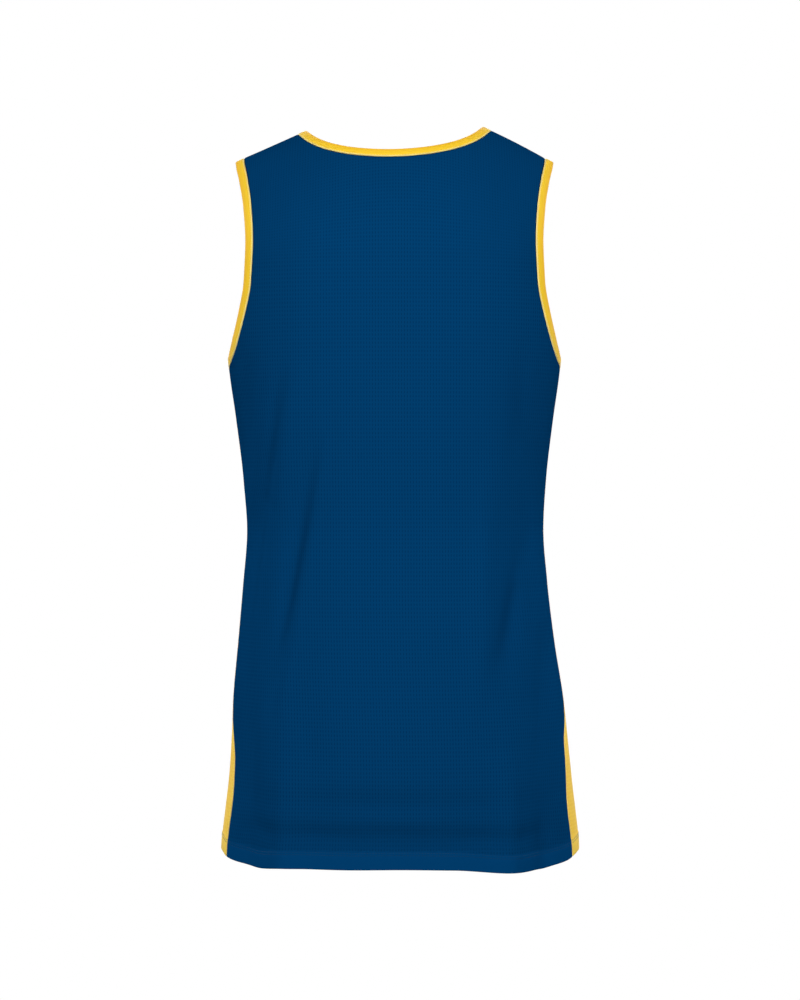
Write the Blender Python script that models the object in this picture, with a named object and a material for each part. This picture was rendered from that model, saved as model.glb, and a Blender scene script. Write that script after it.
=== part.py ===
"""Reversible basketball jersey, filled out as it hangs on the shoulders, with nobody in it.

Sizes are in millimetres and turned to metres where a mesh is made. +Z is up, the front faces -Y and
the wearer's left is +X. The origin lies midway between the two points where the neck meets the
shoulder line.

The whole garment lies on one rounded surface, the form. A place on the form has an angle, 0 at the
wearer's left side, 90 degrees at the middle of the back and -90 at the middle of the front, and a
level: the height above the origin up to the chest line, and from there on a measure along the cloth
that ends at the shoulder ridge. Each panel is a stretch of that surface with a wall, and each
binding is a folded strip along the edge that it closes.
"""

import math
from collections import namedtuple

import bmesh
import bpy
import numpy as np

MM = 0.001

# Cloth
WALL = 1.5              # both faces of the reversible knit together
SEAM_GAP = 0.3          # between neighbouring pieces
HEM_BAND = 18.0         # height of the turned hem
HEM_STEP = 1.5          # the hem's fold thins to one wall over this height
HEM_EXTRA = 0.5         # the turned hem stands out this much on each face
BINDING_WIDTH = 10.0
BINDING_THICKNESS = 2.4
BINDING_ROUND = 1.1     # how far the folded edge is rounded

# Levels
UNDERARM_LEVEL = -247.0
RIDGE_LEVEL = 40.0
CHEST_LINE_BACK = -140.0    # above it the cloth leans in towards the shoulder ridge
CHEST_LINE_FRONT = -190.0
HEM_SIDE = -743.5
HEM_FRONT_DROP = 6.0        # the middle of the front hem hangs this much lower than the sides

# Shoulder ridge: a rounded roof line, highest over the neck
RIDGE_TOP = 61.8
SHOULDER_SLOPE = 0.527
RIDGE_ROUND = 60.0
COLLAR_LEAN = 0.034         # the wearer's right side of the neck stands a little higher
SHOULDER_REACH = 155.0
ROUND_IN_BACK = 0.35        # how early the cloth leans in, 0 for an ellipse
ROUND_IN_FRONT = 0.5

# Neck: an oval in plan
NECK_HALF_WIDTH = 100.5
NECK_BACK_DEPTH = 73.0
NECK_FRONT_DEPTH = 97.0

Form = namedtuple("Form", "level half_width depth_back depth_front squareness shift")
FORM = [
    Form(-760.0, 185.8, 104.5, 109.0, 2.25, -5.6),
    Form(-735.0, 185.2, 105.5, 109.5, 2.25, -5.9),
    Form(-700.0, 181.6, 111.5, 111.0, 2.22, -6.0),
    Form(-671.0, 178.2, 113.5, 110.5, 2.20, -6.0),
    Form(-621.0, 174.0, 109.5, 107.5, 2.20, -5.1),
    Form(-590.0, 171.8, 105.5, 106.0, 2.20, -4.0),
    Form(-527.0, 164.2, 99.5, 102.0, 2.25, -1.8),
    Form(-465.0, 157.8, 95.0, 98.5, 2.30, -0.8),
    Form(-413.0, 154.0, 93.0, 98.0, 2.30, -0.8),
    Form(-361.0, 157.2, 95.5, 102.0, 2.35, -0.3),
    Form(-298.0, 164.6, 101.0, 108.5, 2.40, 0.0),
    Form(-247.0, 171.6, 105.0, 112.0, 2.40, 0.0),
    Form(-195.0, 176.0, 107.5, 113.0, 2.40, 0.0),
    Form(-130.0, 178.0, 108.0, 113.0, 2.40, 0.0),
    Form(40.0, 178.0, 108.0, 113.0, 2.40, 0.0),
]

# Back hem: how far it hangs below the hem at the sides, lowest at the wearer's right back corner
HemLine = namedtuple("HemLine", "x drop")
HEM_LINE = [
    HemLine(-186.0, 0.0),
    HemLine(-173.0, 5.4),
    HemLine(-162.0, 9.0),
    HemLine(-148.0, 13.1),
    HemLine(-125.0, 13.7),
    HemLine(-100.0, 13.3),
    HemLine(-55.0, 10.1),
    HemLine(0.0, 7.9),
    HemLine(60.0, 8.5),
    HemLine(115.0, 9.2),
    HemLine(150.0, 10.4),
    HemLine(168.0, 7.8),
    HemLine(180.0, 4.8),
    HemLine(186.0, 0.0),
]

# Armhole: how far the seam of its binding lies in from the widest line of the form
Armhole = namedtuple("Armhole", "level inset_back inset_front")
ARMHOLE = [
    Armhole(-247.0, 0.0, 0.0),
    Armhole(-240.0, 4.0, 4.6),
    Armhole(-225.0, 11.8, 13.8),
    Armhole(-195.0, 23.2, 27.3),
    Armhole(-160.0, 31.9, 37.0),
    Armhole(-120.0, 34.4, 39.8),
    Armhole(-80.0, 31.8, 36.7),
    Armhole(-40.0, 26.8, 30.5),
    Armhole(0.0, 22.6, 24.4),
    Armhole(40.0, 21.4, 21.4),
]

# Side seams: how far each lies behind (+) or in front of (-) the widest line. The jersey sits turned
# a little, so the back seam shows more on the wearer's right.
SideSeam = namedtuple("SideSeam", "level back_left back_right front")
SIDE_SEAM = [
    SideSeam(-760.0, 35.0, 42.5, -43.0),
    SideSeam(-700.0, 35.0, 45.0, -39.0),
    SideSeam(-665.0, 31.5, 41.0, -35.5),
    SideSeam(-646.0, 26.5, 36.0, -33.0),
    SideSeam(-628.0, 15.0, 29.0, -30.0),
    SideSeam(-605.0, 5.5, 15.0, -26.5),
    SideSeam(-575.0, 3.2, 5.0, -23.5),
    SideSeam(-413.0, 3.0, 3.0, -20.0),
    SideSeam(-247.0, 3.0, 3.0, -20.0),
]

# The largest folds, each along a straight line and deepest at its middle: a negative depth is a
# trough, a positive one a ridge. A line that runs past the hem is still deep at the cloth's edge.
BACK = 1.0
FRONT = -1.0
Fold = namedtuple("Fold", "side start_x start_z end_x end_z half_width depth")
FOLDS = [
    Fold(BACK, 112.0, -225.0, 160.0, -570.0, 12.0, -4.2),
    Fold(BACK, 98.0, -235.0, 144.0, -560.0, 12.0, 2.4),
    Fold(BACK, 78.0, -295.0, 130.0, -600.0, 11.0, -3.0),
    Fold(BACK, 151.0, -212.0, 157.0, -390.0, 12.0, -3.6),
    Fold(BACK, -124.0, -222.0, -150.0, -450.0, 14.0, -3.8),
    Fold(BACK, -136.0, -350.0, -106.0, -610.0, 14.0, -5.4),
    Fold(BACK, -96.0, -330.0, -82.0, -610.0, 14.0, 3.8),
    Fold(BACK, -152.0, -440.0, -134.0, -590.0, 11.0, 1.5),
    Fold(BACK, -157.0, -480.0, -153.0, -680.0, 11.0, -2.6),
    Fold(BACK, 190.0, -683.0, -190.0, -688.0, 13.0, -2.2),
    Fold(BACK, 185.0, -717.0, -190.0, -720.0, 12.0, -2.2),
    Fold(BACK, 152.0, -430.0, 156.0, -1010.0, 18.0, -6.4),
    Fold(BACK, 114.0, -470.0, 108.0, -990.0, 19.0, 5.4),
    Fold(BACK, -156.0, -540.0, -158.0, -940.0, 17.0, -5.8),
    Fold(BACK, -119.0, -560.0, -112.0, -930.0, 18.0, 5.0),
    Fold(FRONT, 122.0, -225.0, 134.0, -470.0, 13.0, -3.0),
    Fold(FRONT, -108.0, -230.0, -142.0, -490.0, 13.0, -3.2),
    Fold(FRONT, 70.0, -310.0, 104.0, -545.0, 12.0, -2.2),
    Fold(FRONT, -76.0, -330.0, -100.0, -520.0, 11.0, -1.8),
    Fold(FRONT, 140.0, -480.0, 122.0, -640.0, 12.0, 2.0),
    Fold(FRONT, 150.0, -684.0, -180.0, -680.0, 12.0, -2.2),
    Fold(FRONT, 180.0, -718.0, -120.0, -715.0, 10.0, -1.8),
    Fold(FRONT, 152.0, -580.0, 156.0, -880.0, 15.0, -3.0),
    Fold(FRONT, -150.0, -560.0, -152.0, -880.0, 15.0, -3.4),
]
FOLD_FADE = 26.0            # folds die away within this distance of the side line

# Faceting
SHOULDER_CELLS = 5
NECK_CELLS_BACK = 24
NECK_CELLS_FRONT = 26
SIDE_CELLS = 4
WAVE_ROWS = 5               # closer rows above the hem, where the cloth waves
WAVE_STEP = 12.5
TUBE_ROWS = 11              # from there to the underarm
YOKE_ROWS = 20              # between the underarm and the shoulder ridge
DENSE = 200                 # samples used to space points evenly

NAVY = (0.003, 0.038, 0.125)
YELLOW = (0.88, 0.55, 0.03)


def smooth_curve(knots, values):
    """A smooth curve through the rows of a table that never swings past them."""
    x = np.array(knots)
    y = np.array(values)
    step = np.diff(x)
    rise = np.diff(y) / step
    slope = np.zeros_like(y)
    for i in range(1, len(x) - 1):
        if rise[i - 1] * rise[i] > 0.0:
            slope[i] = 2.0 * rise[i - 1] * rise[i] / (rise[i - 1] + rise[i])

    def value(at):
        at = np.clip(at, x[0], x[-1])
        i = np.clip(np.searchsorted(x, at) - 1, 0, len(x) - 2)
        t = (at - x[i]) / step[i]
        start = y[i] * (1 + 2 * t) + slope[i] * step[i] * t
        end = y[i + 1] * (3 - 2 * t) - slope[i + 1] * step[i] * (1 - t)
        return start * (1 - t) ** 2 + end * t ** 2

    return value


def table_curves(rows):
    """One smooth curve for each column of a table whose first column is the level."""
    levels = [row.level for row in rows]
    return {name: smooth_curve(levels, [getattr(row, name) for row in rows]) for name in rows[0]._fields[1:]}


FORM_AT = table_curves(sorted(FORM))
ARMHOLE_AT = table_curves(sorted(ARMHOLE))
SEAM_AT = table_curves(sorted(SIDE_SEAM))
HEM_DROP_AT = smooth_curve([row.x for row in HEM_LINE], [row.drop for row in HEM_LINE])


def ridge_height(x):
    """Height of the shoulder ridge at a distance x from the middle."""
    lean = COLLAR_LEAN * x * np.clip(1.0 - (x / SHOULDER_REACH) ** 2, 0.0, None)
    return RIDGE_TOP - SHOULDER_SLOPE * np.sqrt(x ** 2 + RIDGE_ROUND ** 2) - lean


def depth_at(angle, level):
    """The form's depth on the side of the angle, back or front."""
    return np.where(np.sin(angle) >= 0.0, FORM_AT["depth_back"](level), FORM_AT["depth_front"](level))


def lean_in(cosine, amount):
    """Share of the full depth left where the cloth has turned towards the ridge."""
    return cosine * (1.0 - amount + amount * cosine ** 2)


def form_surface(angle, level):
    """Points of the smooth form, before any fold."""
    back = np.sin(angle) >= 0.0
    power = FORM_AT["squareness"](level)
    across = np.abs(np.cos(angle)) / FORM_AT["half_width"](level)
    along = np.abs(np.sin(angle)) / depth_at(angle, level)
    radius = (across ** power + along ** power) ** (-1.0 / power)
    x = radius * np.cos(angle)
    chest = np.where(back, CHEST_LINE_BACK, CHEST_LINE_FRONT)
    amount = np.where(back, ROUND_IN_BACK, ROUND_IN_FRONT)
    turn = np.clip((level - chest) / (RIDGE_LEVEL - chest), 0.0, None) * math.pi / 2
    y = radius * np.sin(angle) * lean_in(np.cos(turn), amount)
    z = np.where(turn > 0.0, chest + (ridge_height(x) - chest) * np.sin(turn), level)
    return np.stack([x + FORM_AT["shift"](level), y, z], axis=-1)


def unit(vectors):
    return vectors / np.linalg.norm(vectors, axis=-1, keepdims=True)


def surface_normal(surface, angle, level, step_angle=0.004, step_level=0.6):
    """Outward normals of a surface of angle and level."""
    around = surface(angle + step_angle, level) - surface(angle - step_angle, level)
    up = surface(angle, level + step_level) - surface(angle, level - step_level)
    return unit(np.cross(around, up))


def fold_depth(points):
    """How far the folds move each point of the form outward."""
    x, y, z = points[..., 0], points[..., 1], points[..., 2]
    depth = np.zeros_like(x)
    for fold in FOLDS:
        run_x = fold.end_x - fold.start_x
        run_z = fold.end_z - fold.start_z
        length = math.hypot(run_x, run_z)
        along = ((x - fold.start_x) * run_x + (z - fold.start_z) * run_z) / length ** 2
        aside = ((x - fold.start_x) * run_z - (z - fold.start_z) * run_x) / length
        taper = np.clip(1.0 - (2.0 * along - 1.0) ** 2, 0.0, None) ** 2
        on_side = np.clip(y * fold.side / FOLD_FADE, 0.0, 1.0)
        fade = on_side ** 2 * (3.0 - 2.0 * on_side)
        depth += fold.depth * np.exp(-(aside / fold.half_width) ** 2) * taper * fade
    return depth


def cloth(angle, level):
    """Points of the cloth's outer face, folds included."""
    points = form_surface(angle, level)
    normals = surface_normal(form_surface, angle, level)
    return points + normals * fold_depth(points)[..., None]


def angle_at_x(x, level, side):
    """Angle of the place on one side of the form that lies x from its middle line."""
    half_width = FORM_AT["half_width"](level)
    depth = FORM_AT["depth_back"](level) if side == BACK else FORM_AT["depth_front"](level)
    power = FORM_AT["squareness"](level)
    across = np.clip(np.abs(x) / half_width, 0.0, 1.0)
    y = depth * (1.0 - across ** power) ** (1.0 / power)
    return side * np.arctan2(y, x)


def armhole_angle(level, side):
    """Angle of the armhole seam on the wearer's left, back or front."""
    inset = ARMHOLE_AT["inset_back"](level) if side == BACK else ARMHOLE_AT["inset_front"](level)
    return angle_at_x(FORM_AT["half_width"](level) - inset, level, side)


def side_seam_angle(level, column):
    """Angle of a side seam, counted from the widest line."""
    y = SEAM_AT[column](level)
    side = BACK if column.startswith("back") else FRONT
    depth = FORM_AT["depth_back"](level) if side == BACK else FORM_AT["depth_front"](level)
    power = FORM_AT["squareness"](level)
    x = FORM_AT["half_width"](level) * (1.0 - (np.abs(y) / depth) ** power) ** (1.0 / power)
    return np.arctan2(y, x)


def mirror(angle):
    """The same place on the wearer's other side."""
    return math.pi * np.sign(angle) - angle


def across_side(angles):
    """The same for angles close to the side line, in front of it or behind it."""
    return math.pi - angles


def hem_level(angle):
    """Level of the hem's lower edge."""
    behind = HEM_DROP_AT(form_surface(angle, HEM_SIDE)[..., 0] - FORM_AT["shift"](HEM_SIDE))
    before = HEM_FRONT_DROP * np.sin(angle) ** 2
    return HEM_SIDE - np.where(np.sin(angle) >= 0.0, behind, before)


def armhole_level(angle):
    """Level of the armhole seam's lowest stretch, at an angle close to the side."""
    levels = np.linspace(UNDERARM_LEVEL, UNDERARM_LEVEL + 60.0, DENSE)
    at_back = np.interp(angle, armhole_angle(levels, BACK), levels)
    at_front = np.interp(-angle, -armhole_angle(levels, FRONT), levels)
    return np.where(angle >= 0.0, at_back, at_front)


def corner_level(column):
    """Level where a side seam meets the armhole seam."""
    level = UNDERARM_LEVEL
    for _ in range(8):
        level = float(armhole_level(side_seam_angle(level, column)))
    return level


def tube_fractions():
    """Heights of the rows between hem and underarm, as shares of that height."""
    height = UNDERARM_LEVEL - HEM_SIDE
    waves = HEM_BAND + HEM_STEP + WAVE_STEP * np.arange(WAVE_ROWS)
    tube = np.linspace(waves[-1] + WAVE_STEP, height, TUBE_ROWS + 1)
    return np.concatenate([[0.0, HEM_BAND], waves, tube]) / height


def spread_evenly(angles, levels, count):
    """Indices, as real numbers, that part a line on the form into stretches of one length."""
    points = form_surface(angles, levels)
    length = np.concatenate([[0.0], np.cumsum(np.linalg.norm(np.diff(points, axis=0), axis=1))])
    return np.interp(np.linspace(0.0, length[-1], count + 1), length, np.arange(len(length)))


def take(values, index):
    """Values of a list at indices that are real numbers."""
    return np.interp(index, np.arange(len(values)), values)


def tube_row(fraction, start_column, end_column, side, top, count):
    """Angles and levels of one row of a panel, from the wearer's left side seam to the right."""
    level = HEM_SIDE + fraction * (top - HEM_SIDE)
    for _ in range(4):
        left = side_seam_angle(level, start_column)
        level = hem_level(left) + fraction * (top - hem_level(left))
    level = HEM_SIDE + fraction * (top - HEM_SIDE)
    for _ in range(4):
        right = mirror(side_seam_angle(level, end_column))
        level = hem_level(right) + fraction * (top - hem_level(right))
    angles = np.linspace(float(left), float(right), DENSE)
    hem = hem_level(angles)
    levels = hem + fraction * (top - hem)
    index = spread_evenly(angles, levels, count)
    return take(angles, index), take(levels, index)


def neck_line(side, count):
    """Angles and levels of the neck seam, back or front, from the wearer's left to the right."""
    turn = np.linspace(0.0, math.pi, DENSE)
    x = NECK_HALF_WIDTH * np.cos(turn)
    y = (NECK_BACK_DEPTH if side == BACK else NECK_FRONT_DEPTH) * np.sin(turn)
    chest = CHEST_LINE_BACK if side == BACK else CHEST_LINE_FRONT
    amount = ROUND_IN_BACK if side == BACK else ROUND_IN_FRONT
    cosines = np.linspace(0.0, 1.0, DENSE)
    level = np.full(DENSE, RIDGE_LEVEL)
    for _ in range(6):
        angle = angle_at_x(x, level, side)
        full = np.abs(form_surface(angle, np.full(DENSE, chest))[..., 1])
        cosine = np.interp(y / full, lean_in(cosines, amount), cosines)
        level = chest + np.arccos(cosine) / (math.pi / 2) * (RIDGE_LEVEL - chest)
    index = spread_evenly(angle, level, count)
    return take(angle, index), take(level, index)


def shoulder_line(side, from_x, to_x):
    """Angles and levels of a shoulder seam, which lies on the ridge."""
    level = np.full(SHOULDER_CELLS + 1, RIDGE_LEVEL)
    return angle_at_x(np.linspace(from_x, to_x, SHOULDER_CELLS + 1), level, side), level


def panel_places(side, neck_cells):
    """Angles and levels of a whole panel, row by row from the hem up, wearer's left to right."""
    left, right = ("back_left", "back_right") if side == BACK else ("front", "front")
    columns = neck_cells + 2 * SHOULDER_CELLS
    top = corner_level(left)
    rows = [tube_row(share, left, right, side, top, columns) for share in tube_fractions()]

    tip_x = FORM_AT["half_width"](RIDGE_LEVEL) - ARMHOLE_AT["inset_back"](RIDGE_LEVEL)
    start = shoulder_line(side, tip_x, NECK_HALF_WIDTH)
    middle = neck_line(side, neck_cells)
    end = shoulder_line(side, -NECK_HALF_WIDTH, -tip_x)
    top_angle, top_level = (np.concatenate([a[:-1], b, c[1:]]) for a, b, c in zip(start, middle, end))
    low_angle, low_level = rows[-1]

    across = np.linspace(0.0, 1.0, columns + 1)
    for share in np.linspace(0.0, 1.0, YOKE_ROWS + 1)[1:]:
        edge_level = top + share * (RIDGE_LEVEL - top)
        edge = float(armhole_angle(edge_level, side))
        angle = (1 - share) * low_angle + share * top_angle
        level = (1 - share) * low_level + share * top_level
        angle += (1 - across) * (edge - angle[0]) + across * (float(mirror(edge)) - angle[-1])
        rows.append((angle, level))
    return np.array([row[0] for row in rows]), np.array([row[1] for row in rows])


def side_places(back_column, on_left):
    """Angles and levels of a side panel, row by row from the hem up, back seam to front seam."""
    corners = [corner_level(back_column), corner_level("front")]
    ends = [float(side_seam_angle(top, name)) for top, name in zip(corners, (back_column, "front"))]
    tops = armhole_level(np.linspace(ends[0], ends[1], SIDE_CELLS + 1))
    tops[0], tops[-1] = corners
    rows = []
    for share in tube_fractions():
        ends = []
        for column, top in zip((back_column, "front"), corners):
            level = HEM_SIDE + share * (top - HEM_SIDE)
            for _ in range(4):
                angle = side_seam_angle(level, column)
                hem = hem_level(angle if on_left else across_side(angle))
                level = hem + share * (top - hem)
            ends.append(float(angle))
        angles = np.linspace(ends[0], ends[1], SIDE_CELLS + 1)
        placed = angles if on_left else across_side(angles)
        hem = hem_level(placed)
        rows.append((placed, hem + share * (tops - hem)))
    return np.array([row[0] for row in rows]), np.array([row[1] for row in rows])


def inset_border(points, normals):
    """Move a panel's border, but for its foot, in by half a seam gap, with true corners."""
    rows, columns = points.shape[:2]
    border = [(j, 0) for j in range(rows)]
    border += [(rows - 1, k) for k in range(1, columns)]
    border += [(j, columns - 1) for j in range(rows - 2, -1, -1)]
    index = tuple(np.array(border).T)
    line = points[index]
    across = normals[index]
    inward = unit(np.cross(np.diff(line, axis=0), across[1:] + across[:-1]))
    middles = (line[1:] + line[:-1]) / 2
    if np.sum(inward * (points.mean(axis=(0, 1)) - middles)) < 0.0:
        inward = -inward
    before = np.concatenate([inward[:1], inward])
    after = np.concatenate([inward, inward[-1:]])
    corner = (before + after) / (1.0 + np.sum(before * after, axis=1, keepdims=True))
    moved = points.copy()
    moved[index] += corner * SEAM_GAP / 2
    return moved


def wall_mesh(name, points, normals, extra):
    """A closed wall: an outer grid of points, an inner one and a rim."""
    rows, columns = points.shape[:2]
    outer = points + normals * extra[:, None, None]
    inner = points - normals * (WALL + extra[:, None, None])
    mesh = bmesh.new()
    grids = []
    for grid in (outer, inner):
        grids.append([[mesh.verts.new(tuple(p * MM)) for p in row] for row in grid])
    out, back = grids
    for j in range(rows - 1):
        for k in range(columns - 1):
            mesh.faces.new((out[j][k], out[j][k + 1], out[j + 1][k + 1], out[j + 1][k]))
            mesh.faces.new((back[j][k], back[j + 1][k], back[j + 1][k + 1], back[j][k + 1]))
    rim = [(0, k) for k in range(columns)]
    rim += [(j, columns - 1) for j in range(1, rows)]
    rim += [(rows - 1, k) for k in range(columns - 2, -1, -1)]
    rim += [(j, 0) for j in range(rows - 2, 0, -1)]
    for (j, k), (jj, kk) in zip(rim, rim[1:] + rim[:1]):
        mesh.faces.new((out[j][k], back[j][k], back[jj][kk], out[jj][kk]))
    return finish_mesh(name, mesh)


def finish_mesh(name, mesh):
    bmesh.ops.recalc_face_normals(mesh, faces=mesh.faces)
    bmesh.ops.triangulate(mesh, faces=mesh.faces)
    data = bpy.data.meshes.new(name)
    mesh.to_mesh(data)
    mesh.free()
    return data


def add_object(name, data, colour, roughness):
    """Place a mesh in the scene with its own material."""
    material = bpy.data.materials.new(name + "_finish")
    material.use_nodes = True
    shader = material.node_tree.nodes["Principled BSDF"]
    shader.inputs["Base Color"].default_value = (*colour, 1.0)
    shader.inputs["Roughness"].default_value = roughness
    shader.inputs["Metallic"].default_value = 0.0
    data.materials.append(material)
    data.shade_smooth()
    data.set_sharp_from_angle(angle=math.radians(35.0))
    piece = bpy.data.objects.new(name, data)
    bpy.context.scene.collection.objects.link(piece)
    return piece


def make_panel(name, places, colour):
    """A panel with its turned hem."""
    points = cloth(*places)
    normals = surface_normal(cloth, *places)
    extra = np.zeros(len(points))
    extra[:2] = HEM_EXTRA
    walls = inset_border(points, normals)
    return add_object(name, wall_mesh(name, walls, normals, extra), colour, 0.7)


def binding_section():
    """Outline of a folded strip: how far out from the seam, and how far above the cloth's middle."""
    half = BINDING_THICKNESS / 2
    near = SEAM_GAP / 2
    flat = BINDING_WIDTH - BINDING_ROUND
    return [
        (near, half - 0.3), (near + 1.0, half), (flat, half), (BINDING_WIDTH, 0.4 * half),
        (BINDING_WIDTH, -0.4 * half), (flat, -half), (near + 1.0, -half), (near, 0.3 - half),
    ]


def make_binding(name, angles, levels, centre, colour):
    """A folded strip along a closed line of places, reaching from the seam towards a centre."""
    normals = surface_normal(cloth, angles, levels)
    seam = cloth(angles, levels) - normals * WALL / 2
    tangent = unit(np.roll(seam, -1, axis=0) - np.roll(seam, 1, axis=0))
    normals = unit(normals - tangent * np.sum(normals * tangent, axis=1, keepdims=True))
    outward = np.cross(tangent, normals)
    if np.sum(outward * (np.array(centre) - seam)) < 0.0:
        outward = -outward
    mesh = bmesh.new()
    rings = []
    for point, normal, out in zip(seam, normals, outward):
        ring = [point + out * reach + normal * lift for reach, lift in binding_section()]
        rings.append([mesh.verts.new(tuple(p * MM)) for p in ring])
    for ring, following in zip(rings, rings[1:] + rings[:1]):
        for i in range(len(ring)):
            j = (i + 1) % len(ring)
            mesh.faces.new((ring[i], ring[j], following[j], following[i]))
    return add_object(name, finish_mesh(name, mesh), colour, 0.6)


def yoke_edge(places, column):
    """A panel's armhole edge, from the underarm to the shoulder ridge."""
    angles, levels = places
    return angles[-YOKE_ROWS - 1:, column], levels[-YOKE_ROWS - 1:, column]


def armhole_loop(back, front, side, column):
    """Places all round an armhole: up the back edge, down the front edge, under the arm."""
    up = yoke_edge(back, column)
    down = yoke_edge(front, column)
    under = [values[-1] for values in side]
    return tuple(
        np.concatenate([up[i], down[i][-2::-1], under[i][-2:0:-1]]) for i in (0, 1)
    )


def neck_loop(back, front):
    """Places all round the neck: across the back edge and back along the front edge."""
    loops = []
    for i in (0, 1):
        rear = back[i][-1, SHOULDER_CELLS:-SHOULDER_CELLS]
        fore = front[i][-1, SHOULDER_CELLS:-SHOULDER_CELLS]
        loops.append(np.concatenate([rear, fore[-2:0:-1]]))
    return tuple(loops)


def clear_scene():
    for item in list(bpy.data.objects):
        bpy.data.objects.remove(item, do_unlink=True)


def main():
    clear_scene()
    back = panel_places(BACK, NECK_CELLS_BACK)
    front = panel_places(FRONT, NECK_CELLS_FRONT)
    left = side_places("back_left", True)
    right = side_places("back_right", False)
    make_panel("back_panel", back, NAVY)
    make_panel("front_panel", front, NAVY)
    make_panel("side_panel_left", left, YELLOW)
    make_panel("side_panel_right", right, YELLOW)
    make_binding("neck_binding", *neck_loop(back, front), (0.0, 0.0, -20.0), YELLOW)
    make_binding("armhole_binding_left", *armhole_loop(back, front, left, 0), (165.0, 0.0, -140.0), YELLOW)
    make_binding("armhole_binding_right", *armhole_loop(back, front, right, -1), (-165.0, 0.0, -140.0), YELLOW)


main()
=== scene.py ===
"""Looks of a reversible basketball jersey, filled out as it hangs on the shoulders with nobody in it.

Each cloth panel, side panel and binding is a thin shell on the form of its solid, with finer creases,
rolled seams, a turned hem and sewn stitches. Sizes are in millimetres and turned to metres where a
mesh is made. +Z is up, the front faces -Y and the wearer's left is +X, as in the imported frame.
"""

import logging
import math
from dataclasses import dataclass, field
from enum import Enum
from functools import cached_property
from typing import Any, Callable, NamedTuple

import bpy
import numpy as np
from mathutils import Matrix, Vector


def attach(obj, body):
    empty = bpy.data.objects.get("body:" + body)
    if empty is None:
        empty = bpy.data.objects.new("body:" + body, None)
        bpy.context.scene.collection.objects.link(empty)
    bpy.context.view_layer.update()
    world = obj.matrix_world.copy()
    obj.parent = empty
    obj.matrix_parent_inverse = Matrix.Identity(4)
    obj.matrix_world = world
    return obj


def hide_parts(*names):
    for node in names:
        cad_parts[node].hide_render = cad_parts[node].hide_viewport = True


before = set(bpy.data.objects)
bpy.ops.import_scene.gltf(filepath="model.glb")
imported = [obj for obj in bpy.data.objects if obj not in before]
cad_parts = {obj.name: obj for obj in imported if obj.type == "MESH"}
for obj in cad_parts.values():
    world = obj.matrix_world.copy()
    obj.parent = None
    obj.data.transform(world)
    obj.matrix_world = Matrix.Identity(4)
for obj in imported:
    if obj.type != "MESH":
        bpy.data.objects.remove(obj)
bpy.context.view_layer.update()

Array = np.ndarray
LOG = logging.getLogger("jersey")
MM = 0.001
BODY = "root"
CUT_MAP = "cut_m"               # UV map: metres across and up the flat cloth
SEAM_LAYER = "seam_mm"          # distance from the nearest sewn edge
FAR_FROM_SEAM = 99.0            # stands for no sewn edge nearby, in mm
LINE_SAMPLES = 400              # points of a line before it is divided evenly


class Face(Enum):
    """Half of the jersey, and the sign of Y there."""

    BACK = 1.0
    FRONT = -1.0


class Hand(Enum):
    """The wearer's side, and the sign of X there."""

    LEFT = 1.0
    RIGHT = -1.0


class Finish(Enum):
    """Material slots of a cloth shell, in order."""

    KNIT = 0
    HEM = 1
    INSIDE_KNIT = 2
    INSIDE_HEM = 3


class FormRow(NamedTuple):
    """One level section of the form, in mm.

    Attributes:
        level: Height, 0 on the shoulder ridge beside the neck.
        half_width: From the middle to the widest line.
        depth_back: From the widest line to the middle of the back.
        depth_front: From the widest line to the middle of the front.
        squareness: Power of the rounded section, 2 for an ellipse and more for a squarer one.
        shift: How far the middle lies towards the wearer's left.
    """

    level: float
    half_width: float
    depth_back: float
    depth_front: float
    squareness: float
    shift: float


class HemRow(NamedTuple):
    """How far the back hem hangs below the hem at the sides, in mm.

    Attributes:
        x: Distance from the form's middle line, towards the wearer's left.
        drop: How far it hangs below.
    """

    x: float
    drop: float


class ArmholeRow(NamedTuple):
    """How far the armhole seam lies in from the widest line, in mm.

    Attributes:
        level: Height of the place.
        inset_back: How far in it lies on the back.
        inset_front: The same on the front.
    """

    level: float
    inset_back: float
    inset_front: float


class SideSeamRow(NamedTuple):
    """How far each side seam lies behind (+) or in front of (-) the widest line, in mm.

    Attributes:
        level: Height of the place.
        back_left: Seam of the back with the left side panel.
        back_right: Seam of the back with the right side panel.
        front: Both seams of the front.
    """

    level: float
    back_left: float
    back_right: float
    front: float


class Crease(NamedTuple):
    """A soft trough or ridge along a line that may bow to one side, in mm.

    Attributes:
        face: Back or front.
        start_x: Where the line starts, towards the wearer's left.
        start_z: The height there.
        end_x: Where it ends.
        end_z: The height there.
        half_width: Distance from the line at which about a third of the depth is left.
        depth: Height of a ridge, negative for a trough.
        bow: How far the line's middle lies off the straight line.
        end_fade: The smaller it is, the fuller the crease stays towards its ends.
    """

    face: Face
    start_x: float
    start_z: float
    end_x: float
    end_z: float
    half_width: float
    depth: float
    bow: float = 0.0
    end_fade: float = 2.0


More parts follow.
